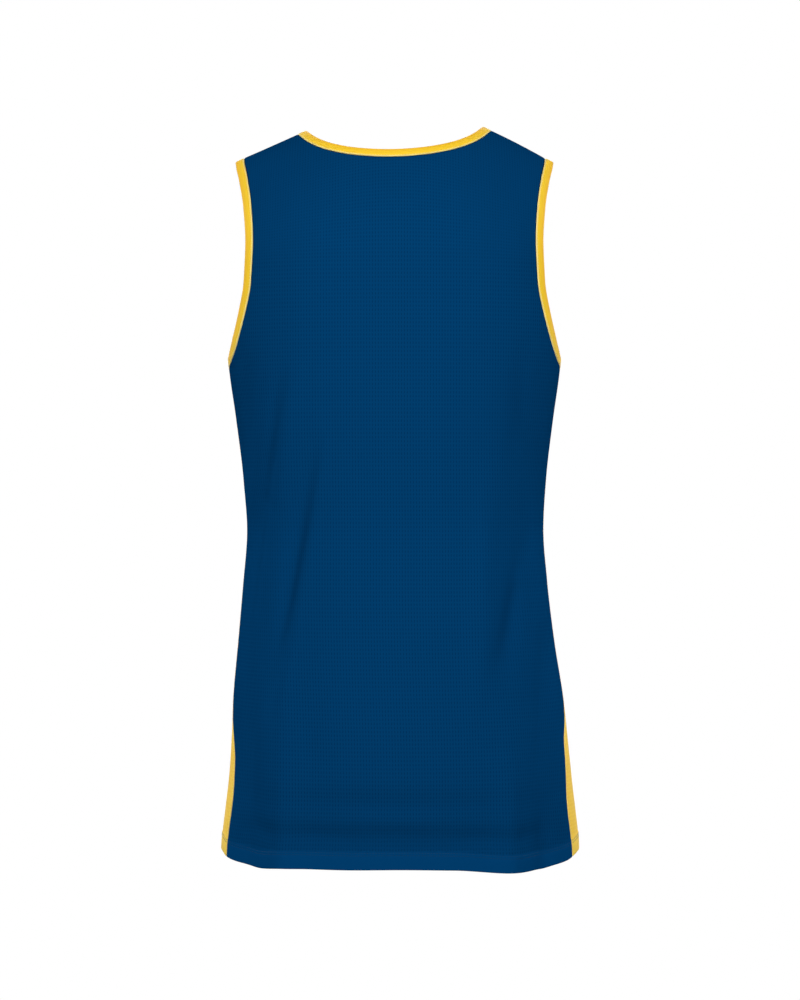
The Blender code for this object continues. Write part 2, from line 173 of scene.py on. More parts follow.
FORM_ROWS = (
    FormRow(-760.0, 185.8, 104.5, 109.0, 2.25, -5.6),
    FormRow(-735.0, 185.2, 105.5, 109.5, 2.25, -5.9),
    FormRow(-700.0, 181.6, 111.5, 111.0, 2.22, -6.0),
    FormRow(-671.0, 178.2, 113.5, 110.5, 2.20, -6.0),
    FormRow(-621.0, 174.0, 109.5, 107.5, 2.20, -5.1),
    FormRow(-590.0, 171.8, 105.5, 106.0, 2.20, -4.0),
    FormRow(-527.0, 164.2, 99.5, 102.0, 2.25, -1.8),
    FormRow(-465.0, 157.8, 95.0, 98.5, 2.30, -0.8),
    FormRow(-413.0, 154.0, 93.0, 98.0, 2.30, -0.8),
    FormRow(-361.0, 157.2, 95.5, 102.0, 2.35, -0.3),
    FormRow(-298.0, 164.6, 101.0, 108.5, 2.40, 0.0),
    FormRow(-247.0, 171.6, 105.0, 112.0, 2.40, 0.0),
    FormRow(-195.0, 176.0, 107.5, 113.0, 2.40, 0.0),
    FormRow(-130.0, 178.0, 108.0, 113.0, 2.40, 0.0),
    FormRow(40.0, 178.0, 108.0, 113.0, 2.40, 0.0),
)

# The hem and the side seams follow the real ones a little more closely than the solids do
HEM_ROWS = (
    HemRow(-186.0, 0.0),
    HemRow(-173.0, 6.4),
    HemRow(-162.0, 9.6),
    HemRow(-148.0, 12.8),
    HemRow(-125.0, 12.6),
    HemRow(-100.0, 12.1),
    HemRow(-55.0, 8.8),
    HemRow(0.0, 7.9),
    HemRow(60.0, 8.5),
    HemRow(115.0, 8.1),
    HemRow(150.0, 10.9),
    HemRow(168.0, 8.3),
    HemRow(180.0, 4.8),
    HemRow(186.0, 0.0),
)

ARMHOLE_ROWS = (
    ArmholeRow(-247.0, 0.0, 0.0),
    ArmholeRow(-240.0, 4.0, 4.6),
    ArmholeRow(-225.0, 11.8, 13.8),
    ArmholeRow(-195.0, 23.2, 27.3),
    ArmholeRow(-160.0, 31.9, 37.0),
    ArmholeRow(-120.0, 34.4, 39.8),
    ArmholeRow(-80.0, 31.8, 36.7),
    ArmholeRow(-40.0, 26.8, 30.5),
    ArmholeRow(0.0, 22.6, 24.4),
    ArmholeRow(40.0, 21.4, 21.4),
)

SIDE_SEAM_ROWS = (
    SideSeamRow(-760.0, 31.0, 37.0, -43.0),
    SideSeamRow(-700.0, 31.0, 40.0, -39.0),
    SideSeamRow(-665.0, 25.5, 35.0, -35.5),
    SideSeamRow(-646.0, 22.0, 31.5, -33.0),
    SideSeamRow(-628.0, 15.0, 29.0, -30.0),
    SideSeamRow(-605.0, 5.5, 15.0, -26.5),
    SideSeamRow(-575.0, 3.2, 5.0, -23.5),
    SideSeamRow(-413.0, 3.0, 3.0, -20.0),
    SideSeamRow(-247.0, 3.0, 3.0, -20.0),
)

# The solids' own large folds, which the shells share
LARGE_FOLDS = (
    Crease(Face.BACK, 112.0, -225.0, 160.0, -570.0, 12.0, -4.2),
    Crease(Face.BACK, 98.0, -235.0, 144.0, -560.0, 12.0, 2.4),
    Crease(Face.BACK, 78.0, -295.0, 130.0, -600.0, 11.0, -3.0),
    Crease(Face.BACK, 151.0, -212.0, 157.0, -390.0, 12.0, -3.6),
    Crease(Face.BACK, -124.0, -222.0, -150.0, -450.0, 14.0, -3.8),
    Crease(Face.BACK, -136.0, -350.0, -106.0, -610.0, 14.0, -5.4),
    Crease(Face.BACK, -96.0, -330.0, -82.0, -610.0, 14.0, 3.8),
    Crease(Face.BACK, -152.0, -440.0, -134.0, -590.0, 11.0, 1.5),
    Crease(Face.BACK, -157.0, -480.0, -153.0, -680.0, 11.0, -2.6),
    Crease(Face.BACK, 190.0, -683.0, -190.0, -688.0, 13.0, -2.2),
    Crease(Face.BACK, 185.0, -717.0, -190.0, -720.0, 12.0, -2.2),
    Crease(Face.BACK, 152.0, -430.0, 156.0, -1010.0, 18.0, -6.4),
    Crease(Face.BACK, 114.0, -470.0, 108.0, -990.0, 19.0, 5.4),
    Crease(Face.BACK, -156.0, -540.0, -158.0, -940.0, 17.0, -5.8),
    Crease(Face.BACK, -119.0, -560.0, -112.0, -930.0, 18.0, 5.0),
    Crease(Face.FRONT, 122.0, -225.0, 134.0, -470.0, 13.0, -3.0),
    Crease(Face.FRONT, -108.0, -230.0, -142.0, -490.0, 13.0, -3.2),
    Crease(Face.FRONT, 70.0, -310.0, 104.0, -545.0, 12.0, -2.2),
    Crease(Face.FRONT, -76.0, -330.0, -100.0, -520.0, 11.0, -1.8),
    Crease(Face.FRONT, 140.0, -480.0, 122.0, -640.0, 12.0, 2.0),
    Crease(Face.FRONT, 150.0, -684.0, -180.0, -680.0, 12.0, -2.2),
    Crease(Face.FRONT, 180.0, -718.0, -120.0, -715.0, 10.0, -1.8),
    Crease(Face.FRONT, 152.0, -580.0, 156.0, -880.0, 15.0, -3.0),
    Crease(Face.FRONT, -150.0, -560.0, -152.0, -880.0, 15.0, -3.4),
)

# Finer creases, too small for the solids: the sharp bottoms of the large troughs and the ridges beside
# them, drag lines from neck and underarm, slack at the waist, and shallow waves above the hem
FINE_CREASES = (
    Crease(Face.BACK, 124.0, -46.0, 142.0, -80.0, 4.5, 0.7, 2.0),
    Crease(Face.BACK, 112.0, -58.0, 131.0, -112.0, 6.0, -0.6, 3.0),
    Crease(Face.BACK, -121.0, -52.0, -137.0, -104.0, 6.5, -0.6, -3.0),
    Crease(Face.BACK, 112.0, -240.0, 160.0, -566.0, 7.5, -2.1, -3.0, 0.7),
    Crease(Face.BACK, 101.0, -242.0, 149.0, -562.0, 7.5, 1.9, -3.0, 0.7),
    Crease(Face.BACK, 78.0, -314.0, 130.0, -606.0, 7.5, -2.1, 0.0, 0.6),
    Crease(Face.BACK, 67.0, -316.0, 117.0, -602.0, 7.5, 1.9, 0.0, 0.6),
    Crease(Face.BACK, 154.0, -220.0, 155.0, -354.0, 7.0, -1.0, 0.0, 0.6),
    Crease(Face.BACK, -129.0, -219.0, -128.0, -338.0, 7.5, -1.1, 0.0, 0.6),
    Crease(Face.BACK, -118.0, -302.0, -120.0, -398.0, 6.5, -0.9, 0.0, 0.8),
    Crease(Face.BACK, -143.0, -400.0, -104.0, -560.0, 10.0, -2.2, 0.0, 0.8),
    Crease(Face.BACK, -129.0, -398.0, -90.0, -556.0, 10.0, 1.8, 0.0, 0.8),
    Crease(Face.BACK, -152.0, -300.0, -150.0, -640.0, 15.0, -1.6, 0.0, 1.2),
    Crease(Face.BACK, -103.0, -320.0, -106.0, -630.0, 16.0, 1.5, 0.0, 1.2),
    Crease(Face.BACK, -153.0, -508.0, -149.0, -660.0, 6.5, -1.3, 0.0, 0.7),
    Crease(Face.BACK, 148.0, -372.0, 112.0, -404.0, 7.0, -0.7, 4.0),
    Crease(Face.BACK, -147.0, -436.0, -112.0, -474.0, 7.0, 0.7, 5.0),
    Crease(Face.BACK, 36.0, -430.0, 52.0, -610.0, 13.0, -0.8, 6.0),
    Crease(Face.BACK, -30.0, -500.0, -48.0, -650.0, 14.0, -0.7, -6.0),
    Crease(Face.BACK, 151.0, -500.0, 153.0, -900.0, 13.0, -3.0, 1.0, 1.2),
    Crease(Face.BACK, 120.0, -520.0, 116.0, -900.0, 17.0, 3.2, -1.0, 1.2),
    Crease(Face.BACK, -151.0, -560.0, -154.0, -900.0, 13.0, -3.0, -1.0, 1.2),
    Crease(Face.BACK, -121.0, -590.0, -117.0, -900.0, 17.0, 3.0, 1.0, 1.2),
    Crease(Face.BACK, 84.0, -560.0, 76.0, -690.0, 12.0, -0.7, -4.0),
    Crease(Face.BACK, 170.0, -714.0, 30.0, -721.0, 9.0, -1.3, 2.0, 0.8),
    Crease(Face.BACK, -50.0, -722.0, -170.0, -716.0, 9.0, -1.3, -2.0, 0.8),
    Crease(Face.BACK, 52.0, -700.0, -48.0, -704.0, 8.0, 0.6, 0.0, 1.0),
    Crease(Face.BACK, 96.0, -668.0, -20.0, -672.0, 11.0, 0.5, 3.0, 1.0),
    Crease(Face.FRONT, 92.0, -92.0, 118.0, -158.0, 7.0, -0.8, 4.0),
    Crease(Face.FRONT, -96.0, -88.0, -116.0, -166.0, 7.0, -0.7, -4.0),
    Crease(Face.FRONT, 123.0, -240.0, 133.0, -452.0, 6.5, -1.0, -4.0, 1.2),
    Crease(Face.FRONT, 136.0, -250.0, 146.0, -400.0, 6.0, 0.8, -3.0, 1.2),
    Crease(Face.FRONT, -110.0, -246.0, -139.0, -470.0, 6.5, -1.0, 4.0, 1.2),
    Crease(Face.FRONT, -126.0, -262.0, -149.0, -440.0, 6.0, 0.8, 3.0, 1.2),
    Crease(Face.FRONT, 74.0, -330.0, 101.0, -524.0, 6.0, -0.7, 0.0, 1.2),
    Crease(Face.FRONT, 140.0, -384.0, 100.0, -414.0, 7.5, -0.7, 4.0),
    Crease(Face.FRONT, -142.0, -372.0, -98.0, -408.0, 7.5, 0.7, -5.0),
    Crease(Face.FRONT, 20.0, -470.0, 34.0, -640.0, 14.0, -0.8, -6.0),
    Crease(Face.FRONT, 146.0, -590.0, 148.0, -700.0, 9.0, -1.0, 4.0),
    Crease(Face.FRONT, -148.0, -540.0, -144.0, -690.0, 8.0, -1.1, -4.0, 0.8),
    Crease(Face.FRONT, -40.0, -560.0, -58.0, -690.0, 12.0, -0.8, 4.0),
    Crease(Face.FRONT, 140.0, -698.0, -150.0, -695.0, 8.0, 0.5, 0.0, 1.0),
)


@dataclass(frozen=True)
class SmoothCurve:
    """A smooth curve through knots that never swings past them.

    Attributes:
        knots: Rising places of the knots.
        values: Heights of the curve there.
    """

    knots: tuple[float, ...]
    values: tuple[float, ...]

    @cached_property
    def slopes(self) -> Array:
        """Slope at each knot, level where the values turn.

        Returns:
            The slopes.
        """
        rise = np.diff(self.values) / np.diff(self.knots)
        slopes = np.zeros(len(self.values))
        for i in range(1, len(slopes) - 1):
            if rise[i - 1] * rise[i] > 0.0:
                slopes[i] = 2.0 * rise[i - 1] * rise[i] / (rise[i - 1] + rise[i])
        return slopes

    def __call__(self, at: Array) -> Array:
        """Heights of the curve at some places.

        Args:
            at: The places, in the knots' measure.

        Returns:
            The heights.
        """
        x, y = np.array(self.knots), np.array(self.values)
        at = np.clip(at, x[0], x[-1])
        i = np.clip(np.searchsorted(x, at) - 1, 0, len(x) - 2)
        step = x[i + 1] - x[i]
        t = (at - x[i]) / step
        start = y[i] * (1 + 2 * t) + self.slopes[i] * step * t
        end = y[i + 1] * (3 - 2 * t) - self.slopes[i + 1] * step * (1 - t)
        return start * (1 - t) ** 2 + end * t ** 2


def table_curves(rows: tuple) -> dict[str, SmoothCurve]:
    """One curve for each column of a table whose first column is the level.

    Args:
        rows: Named rows, in rising order of their level.

    Returns:
        The curves by column name.
    """
    levels, *columns = zip(*rows)
    return {name: SmoothCurve(levels, values) for name, values in zip(rows[0]._fields[1:], columns)}


def unit(vectors: Array) -> Array:
    """Vectors brought to length 1."""
    return vectors / np.linalg.norm(vectors, axis=-1, keepdims=True)


def run_along(points: Array, axis: int = 0) -> Array:
    """Length walked along a line of points, or along each line of a grid.

    Args:
        points: The points.
        axis: Axis of the grid that the lines run along.

    Returns:
        The length up to each point, 0 at the first.
    """
    step = np.linalg.norm(np.diff(points, axis=axis), axis=-1)
    return np.concatenate([np.zeros_like(step.take([0], axis)), np.cumsum(step, axis=axis)], axis=axis)


def mirror(angle: Array) -> Array:
    """The same place on the wearer's other side."""
    return math.pi * np.sign(angle) - angle


class Places(NamedTuple):
    """Places on the form, in two arrays of one shape.

    Attributes:
        angle: Angle round the form.
        level: Level up it.
    """

    angle: Array
    level: Array

    def part(self, index: Any) -> "Places":
        """The places at an index or slice."""
        return Places(self.angle[index], self.level[index])

    @classmethod
    def stacked(cls, rows: list["Places"]) -> "Places":
        """One grid from rows of places."""
        return cls(*(np.array(values) for values in zip(*rows)))


@dataclass(frozen=True)
class JerseyForm:
    """The rounded surface that every piece lies on, the same as the solids' own but for finer creases.

    A place has an angle, 0 at the wearer's left side, 90 degrees at the middle of the back and -90 at
    the middle of the front, and a level: the height up to the chest line, and from there on a measure
    along the cloth that ends at the shoulder ridge.

    Attributes:
        underarm_level: Level of the armhole's lowest point, in mm as all sizes here.
        ridge_level: Level of the shoulder ridge.
        chest_line_back: Level above which the back turns in to the ridge.
        chest_line_front: The same of the front.
        hem_side: Level of the hem at the sides.
        hem_front_drop: How far the front hem hangs below that.
        ridge_top: Height at which the ridge's two slopes would meet in the middle.
        shoulder_slope: Fall of the shoulders for each mm outward.
        ridge_round: Distance from the middle over which the ridge's line is rounded.
        collar_lean: Slant that lowers the ridge at the wearer's left and raises it at the right.
        shoulder_reach: Distance from the middle where that slant has died out.
        round_in_back: How much earlier than an arc the back turns in.
        round_in_front: The same of the front.
        neck_half_width: Half the width of the neck opening at the ridge.
        neck_back_depth: Distance of the neck seam's middle behind the ridge.
        neck_front_depth: The same in front of it.
        fold_fade: Distance from the widest line over which the creases set in.
        normal_steps: Steps in angle and level over which a normal is taken.
        underarm_stretch: Height over which the armhole is sought from an angle.
        corner_rounds: Rounds after which an underarm corner stands still.
        neck_rounds: The same of a place on the neck seam.
        seam_rounds: The same of a place on a side seam.
        cut_levels: Lowest and highest level of the flat cloth's measures.
        cut_rows: Levels between which they are interpolated.
        cut_columns: The same of the angles.
        creases: All folds and finer creases.
    """

    underarm_level: float = -247.0
    ridge_level: float = 40.0
    chest_line_back: float = -140.0
    chest_line_front: float = -190.0
    hem_side: float = -743.5
    hem_front_drop: float = 6.0
    ridge_top: float = 61.8
    shoulder_slope: float = 0.527
    ridge_round: float = 60.0
    collar_lean: float = 0.034
    shoulder_reach: float = 155.0
    round_in_back: float = 0.35
    round_in_front: float = 0.5
    neck_half_width: float = 100.5
    neck_back_depth: float = 73.0
    neck_front_depth: float = 97.0
    fold_fade: float = 26.0
    normal_steps: tuple[float, float] = (0.004, 0.6)
    underarm_stretch: float = 60.0
    corner_rounds: int = 8
    neck_rounds: int = 6
    seam_rounds: int = 4
    cut_levels: tuple[float, float] = (-770.0, 50.0)
    cut_rows: int = 83
    cut_columns: int = 601
    creases: tuple[Crease, ...] = LARGE_FOLDS + FINE_CREASES

    @cached_property
    def at(self) -> dict[str, SmoothCurve]:
        """Curves of the form's sections."""
        return table_curves(FORM_ROWS)

    @cached_property
    def armhole(self) -> dict[str, SmoothCurve]:
        """Curves of the armhole's insets."""
        return table_curves(ARMHOLE_ROWS)

    @cached_property
    def seams(self) -> dict[str, SmoothCurve]:
        """Curves of the side seams."""
        return table_curves(SIDE_SEAM_ROWS)

    @cached_property
    def hem_drop(self) -> SmoothCurve:
        """Curve of the back hem."""
        return SmoothCurve(*zip(*HEM_ROWS))

    def depth(self, level: Array, face: Face) -> Array:
        """Depth of the form on one face, before it leans in."""
        return self.at["depth_back" if face is Face.BACK else "depth_front"](level)

    def lean_in(self, cosine: Array, amount: Array) -> Array:
        """Share of the full depth left where the cloth has turned towards the ridge."""
        return cosine * (1.0 - amount + amount * cosine ** 2)

    def ridge_height(self, x: Array) -> Array:
        """Height of the shoulder ridge at a distance from the middle."""
        lean = self.collar_lean * x * np.clip(1.0 - (x / self.shoulder_reach) ** 2, 0.0, None)
        return self.ridge_top - self.shoulder_slope * np.sqrt(x ** 2 + self.ridge_round ** 2) - lean

    def section(self, angle: Array, level: Array) -> tuple[Array, Array]:
        """X and Y of a level section, before it leans in to the shoulders.

        Args:
            angle: Angles of the places.
            level: Levels of the places.

        Returns:
            The two, in mm.
        """
        back = np.sin(angle) >= 0.0
        depth = np.where(back, self.depth(level, Face.BACK), self.depth(level, Face.FRONT))
        power = self.at["squareness"](level)
        across = np.abs(np.cos(angle)) / self.at["half_width"](level)
        along = np.abs(np.sin(angle)) / depth
        radius = (across ** power + along ** power) ** (-1.0 / power)
        return radius * np.cos(angle), radius * np.sin(angle)

    def surface(self, angle: Array, level: Array) -> Array:
        """Points of the smooth form, before any crease.

        Args:
            angle: Angles of the places.
            level: Levels of the places.

        Returns:
            The points, in mm.
        """
        back = np.sin(angle) >= 0.0
        x, y = self.section(angle, level)
        chest = np.where(back, self.chest_line_back, self.chest_line_front)
        amount = np.where(back, self.round_in_back, self.round_in_front)
        turn = np.clip((level - chest) / (self.ridge_level - chest), 0.0, None) * math.pi / 2
        z = np.where(turn > 0.0, chest + (self.ridge_height(x) - chest) * np.sin(turn), level)
        return np.stack([x + self.at["shift"](level), y * self.lean_in(np.cos(turn), amount), z], axis=-1)

    def normals(self, surface: Callable[[Array, Array], Array], places: Places) -> Array:
        """Outward normals of a surface of angle and level.

        Args:
            surface: The surface, as a function of angle and level.
            places: Where to take them.

        Returns:
            One unit vector for each place.
        """
        angle, level = places
        step_angle, step_level = self.normal_steps
        around = surface(angle + step_angle, level) - surface(angle - step_angle, level)
        up = surface(angle, level + step_level) - surface(angle, level - step_level)
        return unit(np.cross(around, up))

    def crease_depth(self, points: Array) -> Array:
        """How far the creases move each point of the form outward.

        Args:
            points: Points of the smooth form, in mm.

        Returns:
            The distances, in mm.
        """
        x, y, z = points[..., 0], points[..., 1], points[..., 2]
        depth = np.zeros_like(x)
        for crease in self.creases:
            run_x, run_z = crease.end_x - crease.start_x, crease.end_z - crease.start_z
            length = math.hypot(run_x, run_z)
            along = ((x - crease.start_x) * run_x + (z - crease.start_z) * run_z) / length ** 2
            from_middle = np.clip(1.0 - (2.0 * along - 1.0) ** 2, 0.0, None)
            aside = ((x - crease.start_x) * run_z - (z - crease.start_z) * run_x) / length
            aside = aside - crease.bow * from_middle
            on_face = np.clip(y * crease.face.value / self.fold_fade, 0.0, 1.0)
            fade = on_face ** 2 * (3.0 - 2.0 * on_face)
            fade = fade * from_middle ** crease.end_fade
            depth += crease.depth * np.exp(-(aside / crease.half_width) ** 2) * fade
        return depth

    def cloth(self, angle: Array, level: Array) -> Array:
        """Points of the cloth's outer face, creases included.

        Args:
            angle: Angles of the places.
            level: Levels of the places.

        Returns:
            The points, in mm.
        """
        points = self.surface(angle, level)
        normals = self.normals(self.surface, Places(angle, level))
        return points + normals * self.crease_depth(points)[..., None]

    def angle_at_x(self, x: Array, level: Array, face: Face) -> Array:
        """Angle of the place on one face that lies x from the form's middle line.

        Args:
            x: The distance, in mm.
            level: Levels of the places.
            face: Back or front.

        Returns:
            The angles.
        """
        depth = self.depth(level, face)
        power = self.at["squareness"](level)
        across = np.clip(np.abs(x) / self.at["half_width"](level), 0.0, 1.0)
        return face.value * np.arctan2(depth * (1.0 - across ** power) ** (1.0 / power), x)

    def armhole_angle(self, level: Array, face: Face) -> Array:
        """Angle of the armhole seam on the wearer's left."""
        inset = self.armhole["inset_back" if face is Face.BACK else "inset_front"](level)
        return self.angle_at_x(self.at["half_width"](level) - inset, level, face)

    def seam_angle(self, level: Array, column: str) -> Array:
        """Angle of a side seam, counted from the widest line.

        Args:
            level: Levels on the seam.
            column: Column of the side seams' table.

        Returns:
            The angles.
        """
        y = self.seams[column](level)
        depth = self.depth(level, Face.BACK if column.startswith("back") else Face.FRONT)
        power = self.at["squareness"](level)
        x = self.at["half_width"](level) * (1.0 - (np.abs(y) / depth) ** power) ** (1.0 / power)
        return np.arctan2(y, x)

    def hem_level(self, angle: Array) -> Array:
        """Level of the hem's lower edge.

        Args:
            angle: Angles round the form.

        Returns:
            The levels.
        """
        side = np.full(np.shape(angle), self.hem_side)
        behind = self.hem_drop(self.section(angle, side)[0])
        before = self.hem_front_drop * np.sin(angle) ** 2
        return self.hem_side - np.where(np.sin(angle) >= 0.0, behind, before)

    def armhole_level(self, angle: Array) -> Array:
        """Level of the armhole seam's lowest stretch, at an angle close to the side.

        Args:
            angle: Angles near 0, at the wearer's left.

        Returns:
            The levels.
        """
        top = self.underarm_level + self.underarm_stretch
        levels = np.linspace(self.underarm_level, top, LINE_SAMPLES // 2)
        at_back = np.interp(angle, self.armhole_angle(levels, Face.BACK), levels)
        at_front = np.interp(-angle, -self.armhole_angle(levels, Face.FRONT), levels)
        return np.where(angle >= 0.0, at_back, at_front)

    def corner_level(self, column: str) -> float:
        """Level where a side seam meets the armhole seam.

        Args:
            column: Column of the side seams' table.

        Returns:
            The level.
        """
        level = self.underarm_level
        for _ in range(self.corner_rounds):
            level = float(self.armhole_level(self.seam_angle(level, column)))
        return level

    def seam_place(self, share: float, top: float, column: str, turn: Callable[[Array], Array]) -> float:
        """Angle of a side seam at a share of the height between the hem and the underarm.

        Args:
            share: The share.
            top: Level of the underarm corner.
            column: Column of the side seams' table.
            turn: Turns an angle at the wearer's left to the hand in question.

        Returns:
            The angle, counted at the wearer's left.
        """
        level = self.hem_side + share * (top - self.hem_side)
        for _ in range(self.seam_rounds):
            angle = self.seam_angle(level, column)
            hem = self.hem_level(turn(angle))
            level = hem + share * (top - hem)
        return float(angle)

    def neck_line(self, face: Face, shares: Array) -> Places:
        """Places along the neck seam, from the wearer's left to the right.

        Args:
            face: Back or front half of the neck.
            shares: Rising shares of the line's length, 0 to 1.

        Returns:
            The places.
        """
        turn = np.linspace(0.0, math.pi, LINE_SAMPLES)
        back = face is Face.BACK
        x = self.neck_half_width * np.cos(turn)
        y = (self.neck_back_depth if back else self.neck_front_depth) * np.sin(turn)
        chest = self.chest_line_back if back else self.chest_line_front
        amount = self.round_in_back if back else self.round_in_front
        cosines = np.linspace(0.0, 1.0, LINE_SAMPLES)
        level = np.full(len(turn), self.ridge_level)
        for _ in range(self.neck_rounds):
            angle = self.angle_at_x(x, level, face)
            full = np.abs(self.section(angle, np.full(len(turn), chest))[1])
            cosine = np.interp(y / full, self.lean_in(cosines, amount), cosines)
            level = chest + np.arccos(cosine) / (math.pi / 2) * (self.ridge_level - chest)
        return self.spread(Places(angle, level), shares)

    def spread(self, line: Places, shares: Array) -> Places:
        """Places at shares of a line's length.

        Args:
            line: Close places along the line.
            shares: Rising shares, 0 to 1.

        Returns:
            The places.
        """
        length = run_along(self.surface(*line))
        index = np.interp(np.asarray(shares) * length[-1], length, np.arange(len(length)))
        whole = np.arange(len(length))
        return Places(np.interp(index, whole, line.angle), np.interp(index, whole, line.level))

    def cut_map(self, places: Places) -> Array:
        """Metres across the cloth from its middle line, and up it, along the straight grain.

        Args:
            places: Where to measure.

        Returns:
            The two measures for each place.
        """
        levels = np.linspace(*self.cut_levels, self.cut_rows)
        # Up: the length along the middle of each face
        up = []
        for face in Face:
            middle = self.surface(np.full(len(levels), face.value * math.pi / 2), levels)
            up.append(np.interp(places.level, levels, run_along(middle)))
        # Across: the length round each section, from a table of angles a little wider than a face
        angles = np.linspace(-0.25 * math.pi, 1.25 * math.pi, self.cut_columns)
        folded = np.abs(places.angle)
        maps = []
        for face in Face:
            grid = np.meshgrid(angles * face.value, levels)
            x, y = self.section(*grid)
            step = np.hypot(np.diff(x, axis=1), np.diff(y, axis=1))
            arc = np.concatenate([np.zeros((len(levels), 1)), np.cumsum(step, axis=1)], axis=1)
            maps.append(arc - arc[:, [self.cut_columns // 2]])
        row = np.clip((places.level - levels[0]) / (levels[1] - levels[0]), 0, len(levels) - 1.001)
        column = np.clip((folded - angles[0]) / (angles[1] - angles[0]), 0, len(angles) - 1.001)
        j, k = row.astype(int), column.astype(int)
        s, t = row - j, column - k
        across = []
        for arc in maps:
            low = arc[j, k] * (1 - t) + arc[j, k + 1] * t
            high = arc[j + 1, k] * (1 - t) + arc[j + 1, k + 1] * t
            across.append(low * (1 - s) + high * s)
        behind = np.sin(places.angle) >= 0.0
        return np.stack([np.where(behind, *across), np.where(behind, *up)], axis=-1) * MM


@dataclass
class MeshBook:
    """Points, cells and finishes of one piece, gathered grid by grid.

    Attributes:
        points: Arrays of points, in mm.
        seams: Distance of each point from the nearest sewn edge, in mm.
        cells: Arrays of four point numbers.
        corners: Cut map of each cell's corners.
        finishes: Material slot of each cell.
        count: Number of points so far.
    """

    points: list[Array] = field(default_factory=list)
    seams: list[Array] = field(default_factory=list)
    cells: list[Array] = field(default_factory=list)
    corners: list[Array] = field(default_factory=list)
    finishes: list[Array] = field(default_factory=list)
    count: int = 0

    def add_points(self, points: Array, seam: Array | float = FAR_FROM_SEAM) -> Array:
        """Adds points.

        Args:
            points: Points in mm, in a grid of any shape.
            seam: Their distance from a sewn edge.

        Returns:
            Their numbers, in the same grid.
        """
        shape = points.shape[:-1]
        numbers = self.count + np.arange(int(np.prod(shape))).reshape(shape)
        self.points.append(points.reshape(-1, 3))
        self.seams.append(np.broadcast_to(seam, shape).reshape(-1))
        self.count += numbers.size
        return numbers

    def add_cells(self, numbers: Array, cut: Array, finish: Array | int = 0, turned: bool = False) -> None:
        """Adds a cell between each four neighbours of a grid.

        Args:
            numbers: Point numbers, row by row.
            cut: Cut map at each of them.
            finish: Material slot of each cell, or of all.
            turned: Whether the cells face the other way.
        """
        pick = [(slice(None, -1), slice(None, -1)), (slice(None, -1), slice(1, None)),
                (slice(1, None), slice(1, None)), (slice(1, None), slice(None, -1))]
        if turned:
            pick = pick[::-1]
        cells = np.stack([numbers[at] for at in pick], axis=-1)
        self.cells.append(cells.reshape(-1, 4))
        self.corners.append(np.stack([cut[at] for at in pick], axis=-2).reshape(-1, 2))
        self.finishes.append(np.broadcast_to(finish, cells.shape[:-1]).reshape(-1))

    def build(self, name: str, materials: list[bpy.types.Material]) -> bpy.types.Object:
        """Makes the object.

        Args:
            name: Name of the piece.
            materials: Its materials, in the order of the slots.

        Returns:
            The new object, linked to the scene.
        """
        mesh = bpy.data.meshes.new(name)
        points = np.concatenate(self.points) * MM
        mesh.from_pydata(points.tolist(), [], np.concatenate(self.cells).tolist())
        cut = mesh.uv_layers.new(name=CUT_MAP)
        cut.data.foreach_set("uv", np.concatenate(self.corners).astype(np.float32).ravel())
        seam = mesh.attributes.new(SEAM_LAYER, "FLOAT", "POINT")
        seam.data.foreach_set("value", np.concatenate(self.seams).astype(np.float32))
        mesh.polygons.foreach_set("material_index", np.concatenate(self.finishes).astype(np.int32))
        for material in materials:
            mesh.materials.append(material)
        mesh.shade_smooth()
        mesh.update()
        piece = bpy.data.objects.new(name, mesh)
        bpy.context.scene.collection.objects.link(piece)
        return piece


def linear(colour: str) -> tuple[float, float, float, float]:
    """A linear colour from an sRGB hex value such as "#004080"."""
    levels = [int(colour[i:i + 2], 16) / 255.0 for i in (1, 3, 5)]
    return (*(c / 12.92 if c <= 0.04045 else ((c + 0.055) / 1.055) ** 2.4 for c in levels), 1.0)


def add_node(
    tree: bpy.types.NodeTree, kind: str, settings: dict[str | int, Any] | None = None,
    links: dict[str | int, bpy.types.NodeSocket] | None = None,
) -> bpy.types.Node:
    """Adds a node.

    Args:
        tree: Where it goes.
        kind: Its type.
        settings: Values of its properties and unlinked inputs, by name or number.
        links: Sockets that feed its inputs.

    Returns:
        The node.
    """
    node = tree.nodes.new(kind)
    for key, value in (settings or {}).items():
        if isinstance(key, str) and hasattr(node, key):
            setattr(node, key, value)
        else:
            node.inputs[key].default_value = value
    for key, socket in (links or {}).items():
        tree.links.new(socket, node.inputs[key])
    return node


def seen_or_mirrored(tree: bpy.types.NodeTree) -> bpy.types.NodeSocket:
    """Gives 1 where a studio surface is seen or mirrored, and 0 where it only sends out light.

    Args:
        tree: The surface's node tree.

    Returns:
        The socket that carries it.
    """
    path = add_node(tree, "ShaderNodeLightPath")
    either = add_node(tree, "ShaderNodeMath", {"operation": "MAXIMUM"},
                      {0: path.outputs["Is Camera Ray"], 1: path.outputs["Is Glossy Ray"]})
    return either.outputs["Value"]


def new_material(name: str) -> tuple[bpy.types.Material, bpy.types.NodeTree, bpy.types.Node]:
    """A material with a bare Principled shader.

    Args:
        name: Its name.

    Returns:
        The material, its tree and the shader.
    """
    material = bpy.data.materials.new(name)
    material.use_nodes = True
    tree = material.node_tree
    tree.nodes.clear()
    shader = add_node(tree, "ShaderNodeBsdfPrincipled")
    add_node(tree, "ShaderNodeOutputMaterial", links={"Surface": shader.outputs["BSDF"]})
    return material, tree, shader


